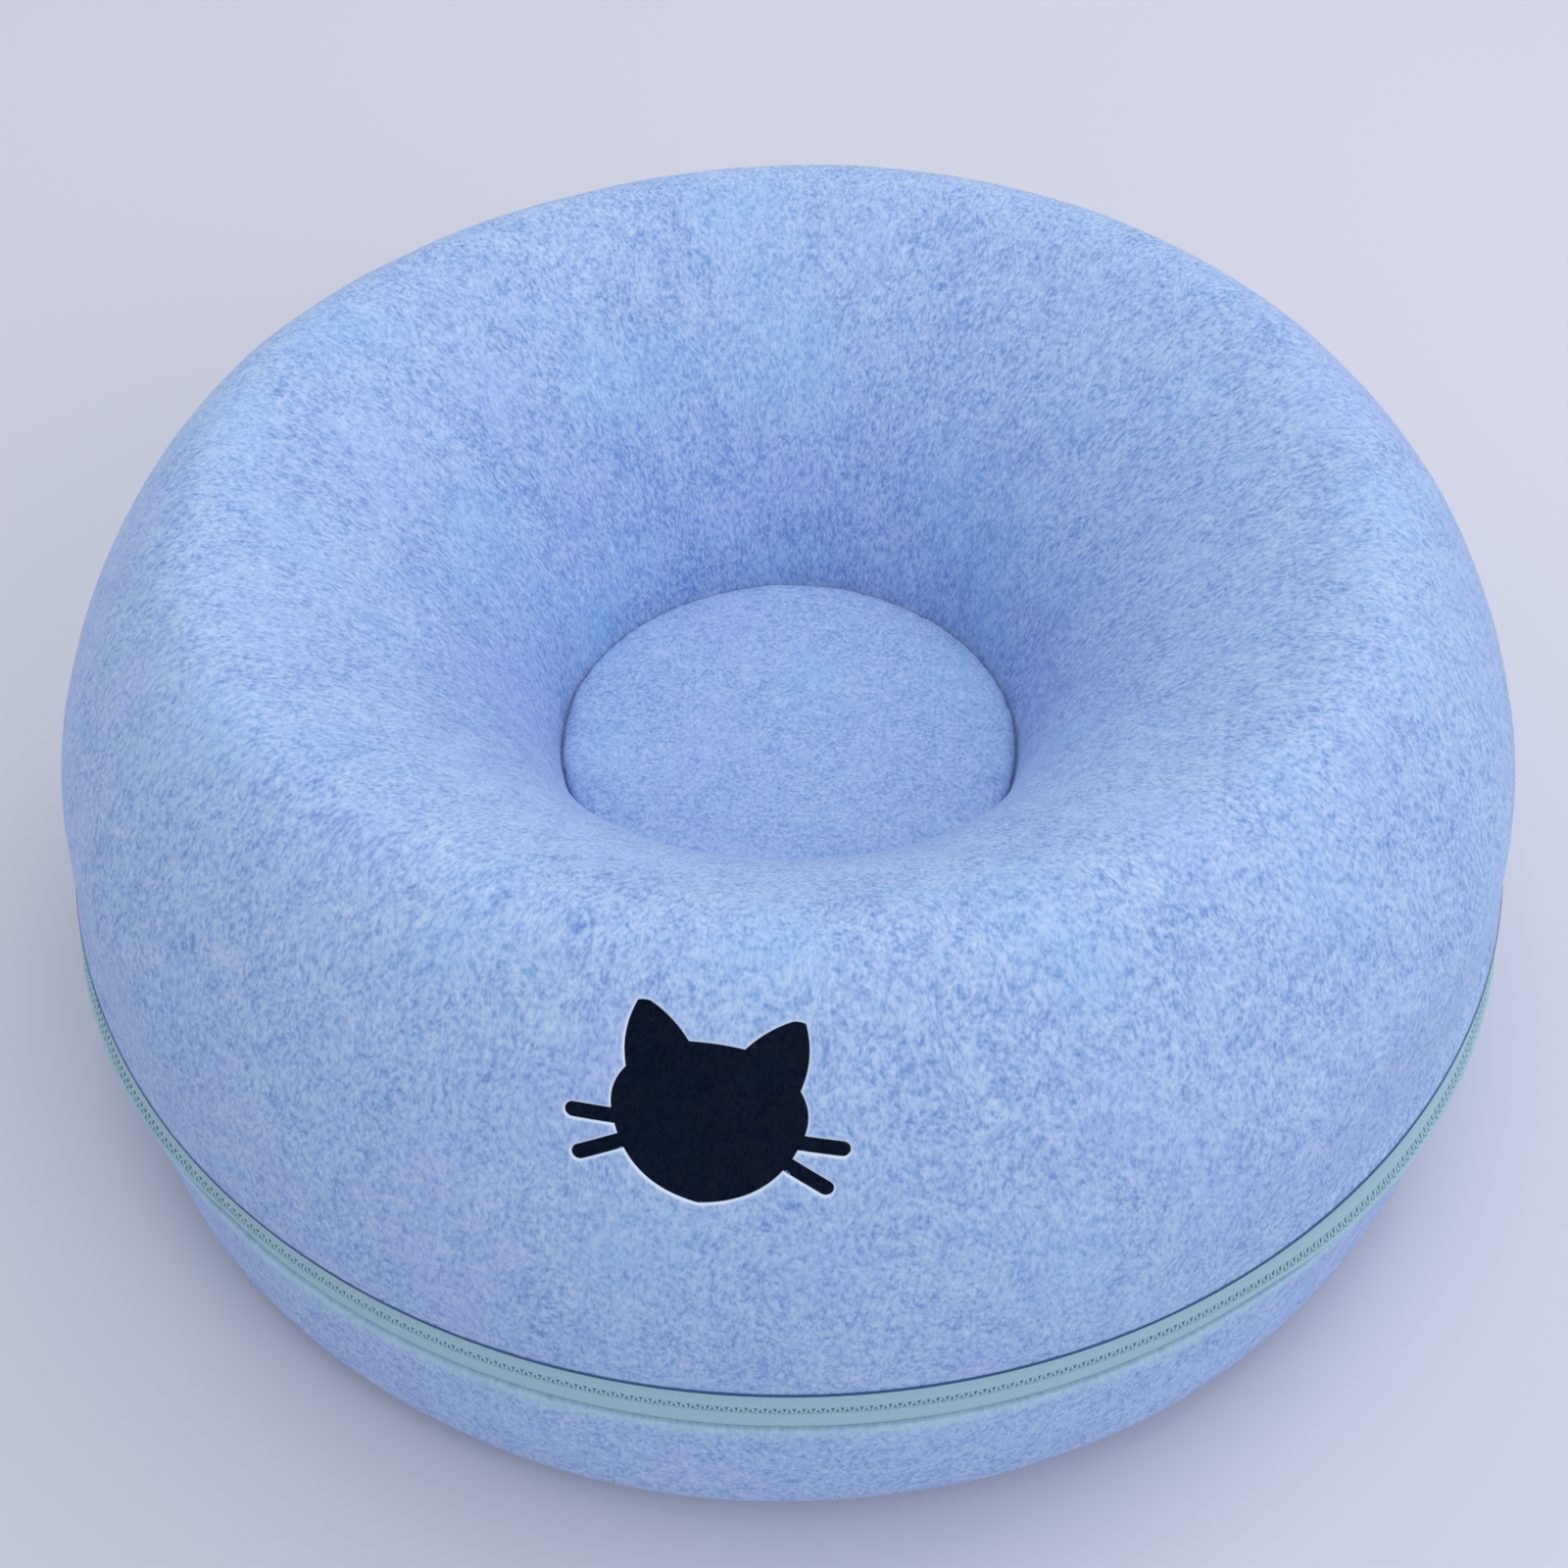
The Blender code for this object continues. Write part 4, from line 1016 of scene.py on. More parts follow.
def swept(paths, radii, guide, sides, closed=False):
    """Vertices and faces of tubes along paths; guide is a direction that no path takes."""
    if closed:
        tangent = np.roll(paths, -1, axis=1) - np.roll(paths, 1, axis=1)
    else:
        tangent = np.gradient(paths, axis=1)
    tangent /= np.linalg.norm(tangent, axis=2, keepdims=True)
    side = guide - (guide * tangent).sum(axis=2, keepdims=True) * tangent
    side /= np.linalg.norm(side, axis=2, keepdims=True)
    other = np.cross(tangent, side)
    turn = FULL_TURN * np.arange(sides) / sides
    ring = np.cos(turn)[:, None] * side[:, :, None] + np.sin(turn)[:, None] * other[:, :, None]
    places = paths[:, :, None] + ring * radii[:, :, None, None]
    index = np.arange(places[..., 0].size).reshape(places.shape[:3])
    here, ahead = (index, np.roll(index, -1, axis=1)) if closed else (index[:, :-1], index[:, 1:])
    faces = np.stack((here, np.roll(here, -1, axis=2), np.roll(ahead, -1, axis=2), ahead), axis=-1)
    caps = [] if closed else index[:, 0].tolist() + index[:, -1].tolist()
    return places.reshape(-1, 3), faces.reshape(-1, 4).tolist() + caps


def coil(name, zip_settings, low, high, outer, side, first_turn, turns, turns_round, material):
    """A wire coil; side is 1 with its heads down and -1 with its heads up, and turns may be all round."""
    wire, points, sides = zip_settings.wire, 12, 6
    flattening, head_growth, head_power = 0.6, 0.42, 4
    tail = high.z - wire / 2 if side > 0 else low.z + wire / 2
    head = CHAIN_HEIGHT - side * zip_settings.reach
    depth = (outer - COIL_INNER - wire) / 2
    u = np.arange(turns * points + (turns < turns_round)) / points
    swing, lean = np.cos(FULL_TURN * u), np.sin(FULL_TURN * u)
    swing, lean = (np.sign(wave) * np.abs(wave) ** flattening for wave in (swing, lean))
    height = (tail + head) / 2 + (tail - head) / 2 * swing
    radius = COIL_INNER + wire / 2 + depth * (1 + lean)
    angle = (first_turn + u) * FULL_TURN / turns_round
    radius = radius + zip_swell(angle, height)
    paths = np.stack((radius * np.cos(angle), radius * np.sin(angle), height), axis=-1)[None]
    guide = np.stack((-np.sin(angle), np.cos(angle), np.zeros_like(angle)), axis=-1)[None]
    radii = wire / 2 * (1 + head_growth * np.clip(-swing, 0, 1) ** head_power)[None]
    places, faces = swept(paths, radii, guide, sides, closed=turns == turns_round)
    return mesh_object(name, places, faces, material)


STITCH_GAP = 0.14  # share of a stitch's length that is free at each of its ends


def stitches(name, starts, ends, outs, thread, material):
    """Sewn stitches, each an arch of thread from start to end over a surface."""
    points, sides, lift, sink = 7, 6, 0.6, 0.8
    share = np.linspace(0, 1, points)[None, :, None]
    paths = starts[:, None] * (1 - share) + ends[:, None] * share
    arch = np.sin(math.pi * share) ** 0.5 * (1 + lift) - sink
    paths = paths + outs[:, None] * arch * thread / 2
    guide = np.broadcast_to(outs[:, None], paths.shape)
    radii = np.broadcast_to(thread / 2, paths.shape[:2])
    places, faces = swept(paths, radii, guide, sides)
    return mesh_object(name, places, faces, material)


def stitch_ring(radius, height, lean, first, last, zip_settings, facing):
    """Starts, ends and outward directions of a row of stitches round the bed."""
    count = round((last - first) * radius / zip_settings.stitch)
    edges = np.linspace(first, last, count + 1)
    free = STITCH_GAP * (last - first) / count

    def at(angle):
        reach = radius + zip_swell(angle, height)
        return np.column_stack((reach * np.cos(angle), reach * np.sin(angle), np.full(len(angle), height)))

    middle = (edges[:-1] + edges[1:]) / 2
    outs = facing * np.column_stack((np.cos(middle), np.sin(middle), np.full(count, lean)))
    return at(edges[:-1] + free), at(edges[1:] - free), outs / np.linalg.norm(outs, axis=1)[:, None]


def plate(name, outline, holes, low, high, rounding, place, material):
    """A flat plate with holes between two depths, its edges rounded, put in place by a matrix."""
    flat_angle, sharp_angle, shaded_angle = (math.radians(degrees) for degrees in (1, 50, 40))
    points, edges = [], []
    for loop in (outline, *holes):
        start = len(points)
        points += [Vector(point) for point in loop]
        edges += [(start + i, start + (i + 1) % len(loop)) for i in range(len(loop))]
    verts, _, faces, _, _, _ = geometry.delaunay_2d_cdt(points, edges, [], 1, 1e-8)
    flat = np.array([tuple(v) for v in verts])
    kept = []
    for face in faces:
        centre = flat[list(face)].mean(axis=0)[None]
        if all(distance_to(np.array(hole), centre)[0] > 0 for hole in holes):
            kept.append(face)
    shape = bmesh.new()
    made = [shape.verts.new((x, low, z)) for x, z in flat]
    base = [shape.faces.new([made[i] for i in face]) for face in kept]
    grown_part = bmesh.ops.extrude_face_region(shape, geom=base)["geom"]
    bmesh.ops.translate(shape, vec=(0, high - low, 0),
                        verts=[v for v in grown_part if isinstance(v, bmesh.types.BMVert)])
    bmesh.ops.recalc_face_normals(shape, faces=shape.faces)
    bmesh.ops.dissolve_limit(shape, angle_limit=flat_angle, verts=shape.verts, edges=shape.edges)
    sharp = [edge for edge in shape.edges if edge.calc_face_angle(0) > sharp_angle]
    bmesh.ops.bevel(shape, geom=sharp, offset=rounding, segments=3, profile=0.5, affect='EDGES',
                    clamp_overlap=True)
    bmesh.ops.transform(shape, matrix=place, verts=shape.verts)
    mesh = bpy.data.meshes.new(name)
    shape.to_mesh(mesh)
    shape.free()
    mesh.materials.append(material)
    mesh.set_sharp_from_angle(angle=shaded_angle)
    return placed(name, mesh)


def joined(name, objects):
    """One object from several."""
    shape = bmesh.new()
    for obj in objects:
        shape.from_mesh(obj.data)
    target = objects[0]
    shape.to_mesh(target.data)
    shape.free()
    for obj in objects[1:]:
        bpy.data.objects.remove(obj)
    target.name = target.data.name = name
    return target


def rounded_box_outline(low, high, corner):
    """Outline of a rectangle with round corners."""
    (x0, z0), (x1, z1) = low, high
    return np.vstack([arc(centre, corner, start, start + math.pi / 2, 4) for centre, start in (
        ((x1 - corner, z0 + corner), -math.pi / 2), ((x1 - corner, z1 - corner), 0),
        ((x0 + corner, z1 - corner), math.pi / 2), ((x0 + corner, z0 + corner), math.pi))])


class CATBED_OT_lid_shell(bpy.types.Operator):
    """Mould the felt lid with its well, and cut its peephole and entrance"""
    bl_idname = "catbed.lid_shell"
    bl_label = "Lid shell"

    def execute(self, context):
        felt, openings = context.scene.catbed_felt, context.scene.catbed_openings
        profile = Profile(lid_profile(felt), PROFILE_STEP, 1, PROFILE_ROUNDINGS, felt.crest_softness)
        shell = Shell(profile, felt)
        shell.cut(*peephole_edge(profile, openings), openings.flare)
        shell.cut(*entrance_edge(profile, openings), 0.0)

        def drift(surface, run, angle):
            from_rim = profile.length - run
            held = smoothstep(*WANDER_RUNS, run) * smoothstep(0.0, WANDER_BACK, from_rim)
            slack = smoothstep(0.0, SLACK_BACK, from_rim) * smoothstep(*SLACK_RUNS, run)
            slack = slack * sagged(OUTLINE_SLACK, angle)
            leaning = smoothstep(*LEAN_BACK, from_rim) * smoothstep(*LEAN_END_BACK, from_rim)
            slack += LEAN_SHARE * sagged(SIDE_SWELL, angle) * leaning
            from_tab = np.abs((angle - BACK + math.pi) % FULL_TURN - math.pi)
            flared = smoothstep(*FLARE_BACK, from_rim) * smoothstep(*TAB_ANGLES, from_tab)
            return held * wander(surface, felt.wave, felt.wave_length) - slack + felt.flare * flared

        def paint(run, depth, cut_gap):
            fluffed = (1 - smoothstep(*FLUFF_GAPS, cut_gap)) * (1 - smoothstep(*FLUFF_DEPTHS, depth))
            # Painted shadow along the bottom of the lid's rim, where it overhangs the tape.
            painted_rim_shadow = smoothstep(*(profile.length - back for back in RIM_SHADOW_BACK), run)
            return np.column_stack((fluffed, painted_rim_shadow, np.zeros_like(run), np.ones_like(run)))

        # Painted shade down in the well: full at the foot of its wall, fading out up the wall towards the crest.
        def painted_well_shade(run):
            return (1 - smoothstep(*WELL_SHADE_ENDS, run)) * smoothstep(*WELL_SHADE_STARTS, run)

        settle(shell.build("felt_lid", felt_of(felt), drift, paint, painted_well_shade), "lid", "felt", "lid_shell")
        return {'FINISHED'}


class CATBED_OT_tray_shell(bpy.types.Operator):
    """Mould the felt tray that stands on the floor"""
    bl_idname = "catbed.tray_shell"
    bl_label = "Tray shell"

    def execute(self, context):
        felt = context.scene.catbed_felt
        profile = Profile(tray_profile(felt), PROFILE_STEP, -1, PROFILE_ROUNDINGS)
        shell = Shell(profile, felt)
        foot = float(profile.along[np.nonzero(profile.points[:, 1] < 0.1 * MM)[0][-1]])

        def drift(surface, run, angle):
            held = smoothstep(foot, foot + TRAY_WANDER, run)
            held = held * smoothstep(0.0, TRAY_WANDER_BACK, profile.length - run)
            return held * wander(surface, felt.wave, felt.wave_length) + zip_swell(angle, surface[:, 2])

        def paint(run, depth, cut_gap):
            tinted = TINT_STRENGTH * smoothstep(*(profile.length - back for back in TINT_BACK), run)
            return np.column_stack((np.zeros_like(run), np.zeros_like(run), tinted, np.ones_like(run)))

        tray = shell.build("felt_tray", felt_of(felt), drift, paint, np.zeros_like)
        settle(tray, "tray", "felt", "tray_shell")
        return {'FINISHED'}


PAD_COLUMNS, PAD_ROWS, PAD_ROUNDINGS = 120, 70, 6
CROWN_POINTS, SIDE_POINTS = 30, 12
FILLING_FRAMES = 20
# The painted highlight along the pad's back edge, a pale line standing in for light caught by its top edge, grows
# between these distances from the pad's side and between these shares of the radius towards the back, up to its
# strength.
PAD_HIGHLIGHT_IN, PAD_HIGHLIGHT_BACK, PAD_HIGHLIGHT_STRENGTH = (2.2 * MM, 0.6 * MM), (0.15, 0.75), 0.7


class CATBED_OT_centre_pad(bpy.types.Operator):
    """Sew the loose round pad that lies in the well"""
    bl_idname = "catbed.centre_pad"
    bl_label = "Centre pad"

    def execute(self, context):
        pad = context.scene.catbed_pad
        radius, low, high = PAD_HIGH.x + pad.plump, PAD_LOW.z, PAD_HIGH.z - pad.crown
        shoulder, half = radius - pad.draw_in, (low + high) / 2
        shares = np.linspace(0, 1, CROWN_POINTS)
        side = (radius, half)
        outline = np.vstack((
            np.column_stack((shoulder * shares, high + pad.crown * (1 - shares ** 2))),
            bezier((shoulder, high), (radius, high), side, side, SIDE_POINTS),
            bezier(side, (radius, low), (shoulder, low), (shoulder, low), SIDE_POINTS),
            [(0, low)]))
        profile = Profile(outline, PROFILE_STEP, 1, PAD_ROUNDINGS)
        runs = np.linspace(0, profile.length, PAD_ROWS)[1:-1]
        angles = FULL_TURN * np.arange(PAD_COLUMNS) / PAD_COLUMNS
        run, angle = (grid.ravel() for grid in np.meshgrid(runs, angles, indexing='ij'))
        r, z = profile.at(run)[:2]
        places = np.column_stack((r * np.cos(angle), r * np.sin(angle), z))
        places = np.vstack((places, (0, 0, profile.points[0][1]), (0, 0, low)))
        index = np.arange(run.size).reshape(len(runs), PAD_COLUMNS)
        faces = ring_faces(index)
        for pole, ring in ((len(places) - 2, index[0]), (len(places) - 1, index[-1])):
            faces += [[pole, int(a), int(b)] for a, b in zip(ring, np.roll(ring, -1))]
        # The cut-edge colour carries the pad's painted highlight here; the pad leaves the other two edge colours
        # unused.
        material = made_once("soft polyester felt", felt_material, pad.pale, pad.mid, pad.dark,
                             context.scene.catbed_felt.cut, pad.dark, pad.mid)
        obj = mesh_object("felt_pad", places, faces, material)
        modified(obj, 'REMESH', mode='VOXEL', voxel_size=pad.voxel, use_smooth_shade=True)
        cut_to = places_of(obj)
        filled(obj, pad.pressure, FILLING_FRAMES)
        swell = places_of(obj) - cut_to
        reach = np.linalg.norm(swell, axis=1, keepdims=True)
        places = cut_to + swell * np.minimum(1, pad.most_swell / np.maximum(reach, 1e-9))
        places[:, 2] = np.clip(places[:, 2], low, high + pad.crown)
        spread = np.hypot(places[:, 0], places[:, 1])
        places[:, :2] *= np.minimum(1, radius / np.maximum(spread, 1e-9))[:, None]
        obj.data.vertices.foreach_set("co", places.ravel())
        modified(obj, 'SMOOTH', factor=0.5, iterations=2)
        modified(obj, 'SUBSURF', levels=1)
        places = places_of(obj)
        places[:, :2] *= radius / np.hypot(places[:, 0], places[:, 1]).max()
        places[:, 2] = np.maximum(places[:, 2], low)
        obj.data.vertices.foreach_set("co", places.ravel())
        give(obj, "flow", 'FLOAT_VECTOR', places)
        # Painted highlight: the cut-edge colour laid along the pad's back edge, where its top edge catches the
        # light.
        line = smoothstep(*(radius - inset for inset in PAD_HIGHLIGHT_IN), np.hypot(places[:, 0], places[:, 1]))
        line *= smoothstep(*PAD_HIGHLIGHT_BACK, places[:, 1] / radius)
        zero = np.zeros_like(line)
        give(obj, "edge", 'FLOAT_COLOR', np.column_stack((PAD_HIGHLIGHT_STRENGTH * line, zero, zero, zero + 1)))
        give(obj, "painted_well_shade", 'FLOAT', zero)
        settle(obj, "pad", "pad_felt", "centre_pad")
        return {'FINISHED'}


WEAVE_STEP = 0.9 * MM
TRAY_TAPE_STEPS, LID_TAPE_STEPS, CLOSED_STEPS, TAB_STEPS = 720, 640, 52, 40
# The tray's tape stands out behind the rim, and comes back in between these heights above it.
TRAY_TAPE_OUT, TRAY_TAPE_BEND = 0.8 * MM, (1.5 * MM, 4.2 * MM)


class CATBED_OT_zip_tapes(bpy.types.Operator):
    """Weave the tapes inside both rims, and the stretch behind that stays closed"""
    bl_idname = "catbed.zip_tapes"
    bl_label = "Zip tapes"

    def execute(self, context):
        zip_settings = context.scene.catbed_zip
        material, thick = tape_of(zip_settings), zip_settings.tape
        outer = TRAY_TAPE_HIGH.x
        lean = LID_TAPE_HIGH.x - outer
        bend = LID_TAPE_HIGH.z - lean / LID_LEAN
        lid_line = [(outer, LID_TAPE_LOW.z), (outer, bend), (outer + lean, LID_TAPE_HIGH.z)]
        lid_section = band_section(lid_line, thick, WEAVE_STEP)
        rim, out = context.scene.catbed_felt.tray_rim, outer + TRAY_TAPE_OUT
        tray_line = [(out, TRAY_TAPE_LOW.z), (out, rim + TRAY_TAPE_BEND[0]), (outer, rim + TRAY_TAPE_BEND[1]),
                     (outer, TRAY_TAPE_HIGH.z)]
        tray_section = band_section(tray_line, thick, WEAVE_STEP)
        closed = math.asin(CLOSED_HIGH.x / outer)
        gap = CLEARANCE / outer
        lid = turned_band("woven_lid_tape", lid_section, BACK + closed + gap, BACK + FULL_TURN - closed - gap,
                          LID_TAPE_STEPS, material)
        settle(lid, "lid", "tape", "lid_tape")
        tray = turned_band("woven_tray_tape", tray_section, BACK, BACK + FULL_TURN, TRAY_TAPE_STEPS, material)
        settle(tray, "tray", "tape", "tray_tape")
        end = turned_band("woven_closed_end", lid_section, BACK - closed, BACK + closed, CLOSED_STEPS, material)
        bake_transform(end)
        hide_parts("lid_tape_closed_end")
        return {'FINISHED'}


# Sections of the tapes' folds over the coils and of the cord inside, in millimetres: out from the coils'
# inner side, and up from the lid coil's top, the tray coil's foot or, for the cord, the chain's middle.
LID_FOLD = np.array(((0.0, 9.5), (0.7, 8.8), (1.5, 6.0), (2.1, 3.0), (2.45, 0.6), (2.5, -0.6), (2.1, -1.3),
                     (1.2, -1.35), (0.0, -1.35)))
TRAY_FOLD = np.array(((0.0, 1.35), (1.2, 1.35), (2.1, 1.3), (2.5, 0.6), (2.45, -0.5), (2.2, -1.8), (2.4, -3.6),
                      (2.9, -5.2), (2.9, -5.9), (0.9, -5.9), (0.0, -3.8)))
CORE = np.array(((1.1, 1.2), (1.32, 1.2), (1.32, -1.2), (1.1, -1.2)))
CLOSED_FOLD = LID_FOLD * (1, 0.2)
FOLD_CLEAR = 0.12  # angle past the closed end that is left free for the slider at the end of its travel


class CATBED_OT_zip_coils(bpy.types.Operator):
    """Wind the nylon coils that lock the tapes together"""
    bl_idname = "catbed.zip_coils"
    bl_label = "Zip coils"

    def execute(self, context):
        zip_settings = context.scene.catbed_zip
        material = made_once("heat-set nylon wire", nylon_material, zip_settings.nylon)
        outer = TRAY_COIL_HIGH.x
        all_round = round(FULL_TURN * (COIL_INNER + outer) / 2 / zip_settings.pitch)
        tray = coil("nylon_tray_coil", zip_settings, TRAY_COIL_LOW, TRAY_COIL_HIGH, outer, -1, 0.5,
                    all_round, all_round, material)
        settle(tray, "tray", "coil", "tray_coil")
        closed = math.asin(CLOSED_HIGH.x / outer)
        back_turn = math.ceil(all_round / 4)
        half_closed = math.floor(closed / FULL_TURN * all_round)
        first = back_turn + half_closed
        turns = all_round - 2 * half_closed - 2
        lid = coil("nylon_lid_coil", zip_settings, LID_COIL_LOW, LID_COIL_HIGH, outer, 1, first,
                   turns, all_round, material)
        settle(lid, "lid", "coil", "lid_coil")
        end = coil("nylon_closed_end", zip_settings, LID_COIL_LOW, LID_COIL_HIGH, outer, 1,
                   back_turn - half_closed, 2 * half_closed - 1, all_round, material)
        settle(end, "tray", "coil", "lid_coil_closed_end")
        once_round = (BACK, BACK + FULL_TURN)
        for name, body, height, shape, (first, last) in (
                ("woven_lid_fold", "lid", LID_COIL_HIGH.z, LID_FOLD,
                 (BACK + closed + FOLD_CLEAR, BACK + FULL_TURN - closed)),
                ("woven_tray_fold", "tray", TRAY_COIL_LOW.z, TRAY_FOLD, once_round),
                ("woven_core", "tray", CHAIN_HEIGHT, CORE, once_round),
                ("woven_closed_fold", "tray", LID_COIL_HIGH.z, CLOSED_FOLD, (BACK - closed, BACK + closed))):
            section = np.column_stack((COIL_INNER + shape[:, 0] * MM, height + shape[:, 1] * MM))
            steps = round(LID_TAPE_STEPS * (last - first) / FULL_TURN)
            fold = turned_band(name, section, first, last, steps, tape_of(zip_settings))
            settle(fold, body, "tape")
        return {'FINISHED'}


class CATBED_OT_hinge_tab(bpy.types.Operator):
    """Sew the tab over the two ends of the zip"""
    bl_idname = "catbed.hinge_tab"
    bl_label = "Hinge tab"

    def execute(self, context):
        zip_settings = context.scene.catbed_zip
        inner = TRAY_HIGH.x + CLEARANCE
        outer = inner + zip_settings.tab
        lean = (TAB_HIGH.z - LID_LOW.z) * LID_LEAN
        line = [(outer, TAB_LOW.z), (outer, LID_LOW.z), (outer + lean, TAB_HIGH.z)]
        half = math.asin(TAB_HIGH.x / outer)
        section = band_section(line, zip_settings.tab, zip_settings.tab)
        tab = turned_band("woven_tab", section, BACK - half, BACK + half, TAB_STEPS, tape_of(zip_settings))
        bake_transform(tab)
        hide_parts("hinge_tab")
        return {'FINISHED'}


# Outline of the slider's face as shares of its half width and half height: a shield, narrower towards -X.
SHIELD = np.array(((-1, -0.70), (-0.86, -0.84), (0.1, -1), (0.80, -1), (1, -0.86), (1, -0.35), (0.90, 0),
                   (1, 0.35), (1, 0.86), (0.80, 1), (0.1, 1), (-0.86, 0.84), (-1, 0.70)))


class CATBED_OT_slider(bpy.types.Operator):
    """Cast the zip's slider and its pull"""
    bl_idname = "catbed.slider"
    bl_label = "Slider and pull"

    def execute(self, context):
        zip_settings = context.scene.catbed_zip
        material = made_once("enamelled zinc casting", painted_zinc, zip_settings.paint)
        swing = next(joint for joint in frame["joints"] if joint["name"] == "pull_swing")
        at = Vector(swing["pos_m"])
        place = Matrix.Translation((0, 0, CHAIN_HEIGHT)) @ Matrix.Rotation(math.atan2(-at.x, at.y), 4, 'Z')
        half, tall, thick = 6.5 * MM, 4.7 * MM, 1.2 * MM
        face = TRAY_COIL_HIGH.x + CLEARANCE
        back_face = TRAY_TAPE_HIGH.x - zip_settings.tape - 0.6 * MM
        shield = SHIELD * (half, tall)
        pieces = [plate(name, shield, [], low, low + thick, 0.35 * MM, place, material)
                  for name, low in (("slider_face", face), ("slider_back", back_face - thick))]
        for side in (-1, 1):
            low, high = sorted((side * tall, side * (tall - thick)))
            rail = rounded_box_outline((-0.9 * half, low), (0.9 * half, high), 0.3 * MM)
            pieces.append(plate("slider_rail", rail, [], COIL_INNER, face + thick / 2, 0.2 * MM, place, material))
        web = rounded_box_outline((-0.4 * half, -0.3 * MM), (0.46 * half, 0.3 * MM), 0.1 * MM)
        pieces.append(plate("slider_post", web, [], back_face - thick / 2, face + thick / 2, 0.05 * MM, place,
                            material))
        reach, rise, rooted, bar_radius = 5.0 * MM, 2.8 * MM, 0.4 * MM, 0.75 * MM
        turn = np.linspace(0, math.pi, 15)
        arch = np.sign(np.cos(turn)) * np.abs(np.cos(turn)) ** 0.5
        path = np.column_stack((-reach * arch, face + thick - rooted + (rise + rooted) * np.sin(turn) ** 0.5,
                                np.zeros_like(turn)))
        bar, bar_faces = swept(path[None], np.full((1, len(path)), bar_radius), np.array((0, 0, 1.0)), 10)
        bridge = mesh_object("slider_bridge", bar, bar_faces, material)
        bridge.data.transform(place)
        settle(joined("cast_slider", [*pieces, bridge]), "slider", "slider", "slider_body")
        swing_place = Matrix.Translation(at) @ Matrix.Rotation(math.atan2(-at.x, at.y), 4, 'Z')
        length, wide, deep, raised = 26 * MM, 3.5 * MM, 0.7 * MM, 0.25 * MM
        tag = rounded_box_outline((-0.5 * MM, -wide), (length, wide), 2.2 * MM)
        window = rounded_box_outline((0.9 * MM, -1.6 * MM), (6.4 * MM, 1.6 * MM), 0.7 * MM)
        ribs = [rounded_box_outline((x * MM, -2.2 * MM), ((x + 0.9) * MM, 2.2 * MM), 0.4 * MM)
                for x in (12.0, 14.4, 16.8, 19.2)]
        grip = [plate("pull_rib", rib, [], -deep - raised, deep + raised, 0.15 * MM, swing_place, material)
                for rib in ribs]
        pull = plate("pull_tag", tag, [window], -deep, deep, 0.4 * MM, swing_place, material)
        settle(joined("cast_pull", [pull, *grip]), "pull", "slider", "slider_pull")
        return {'FINISHED'}


class CATBED_OT_sewing(bpy.types.Operator):
    """Sew the tapes to the rims and the tab over both halves"""
    bl_idname = "catbed.sewing"
    bl_label = "Sewing"

    def execute(self, context):
        zip_settings, rim = context.scene.catbed_zip, context.scene.catbed_felt.tray_rim
        thread = zip_settings.thread
        material = made_once("spun polyester thread", thread_material, zip_settings.tape_light)
        inner = TRAY_TAPE_HIGH.x - zip_settings.tape
        closed = math.asin(CLOSED_HIGH.x / inner) + 0.01
        once_round = (BACK, BACK + FULL_TURN)
        for name, body, height, lean, (first, last) in (
                ("tray_seam", "tray", rim - 5 * MM, 0, once_round),
                ("tray_seam_low", "tray", rim - 14 * MM, 0, once_round),
                ("lid_seam", "lid", LID_LOW.z + 5 * MM, -LID_LEAN, (BACK + closed, BACK + FULL_TURN - closed))):
            out = max(0.0, height - (LID_LOW.z + 1 * MM)) * LID_LEAN if body == "lid" else 0.0
            rows = stitch_ring(inner + out, height, lean, first, last, zip_settings, -1)
            settle(stitches(name, *rows, thread, material), body, "tape")
        outer = TRAY_HIGH.x + CLEARANCE + zip_settings.tab
        reach = TAB_HIGH.x / outer - 2.5 * MM / outer
        for name, body, low, high in (("tab_seam_tray", "tray", TAB_LOW.z + 2.5 * MM, rim - 2.0 * MM),
                                      ("tab_seam_lid", "lid", LID_LOW.z + 1.6 * MM, TAB_HIGH.z - 1.6 * MM)):
            parts = []
            for height in (low, high):
                out = max(0.0, height - LID_LOW.z) * LID_LEAN
                parts.append(stitch_ring(outer + out, height, LID_LEAN if body == "lid" else 0.0,
                                         BACK - reach, BACK + reach, zip_settings, 1))
            count = max(1, round((high - low) / zip_settings.stitch))
            for side in (-1, 1):
                angle = BACK + side * reach
                heights = np.linspace(low, high, count + 1)
                out = outer + np.maximum(0.0, heights - LID_LOW.z) * LID_LEAN
                line = np.column_stack((out * math.cos(angle), out * math.sin(angle), heights))
                free = (line[1:] - line[:-1]) * STITCH_GAP
                outs = np.tile((math.cos(angle), math.sin(angle), 0.0), (count, 1))
                parts.append((line[:-1] + free, line[1:] - free, outs))
            rows = [np.vstack(part) for part in zip(*parts)]
            settle(stitches(name, *rows, thread, material), body, "tape")
        return {'FINISHED'}


# Each row is a soft lamp: name, place, width of its square face, watts and colour.
LAMPS = (
    ("top_softbox", (0.0, 0.0, 3.2), 1.6, 19.2, "#ffffff"),
    ("back_right_softbox", (1.4, 1.2, 3.0), 1.6, 18.1, "#ffffff"),
    ("front_right_softbox", (2.0, -2.0, 2.0), 1.6, 22.9, "#ffffff"),
    ("back_left_softbox", (-2.0, 2.0, 2.0), 1.6, 4.1, "#ffffff"),
)
LAMP_AIM = Vector((0, 0, 0.1))
FLOOR_HALF = 6.0
FLOOR_DROP = 0.2 * MM  # keeps the paper and the bed's sole apart


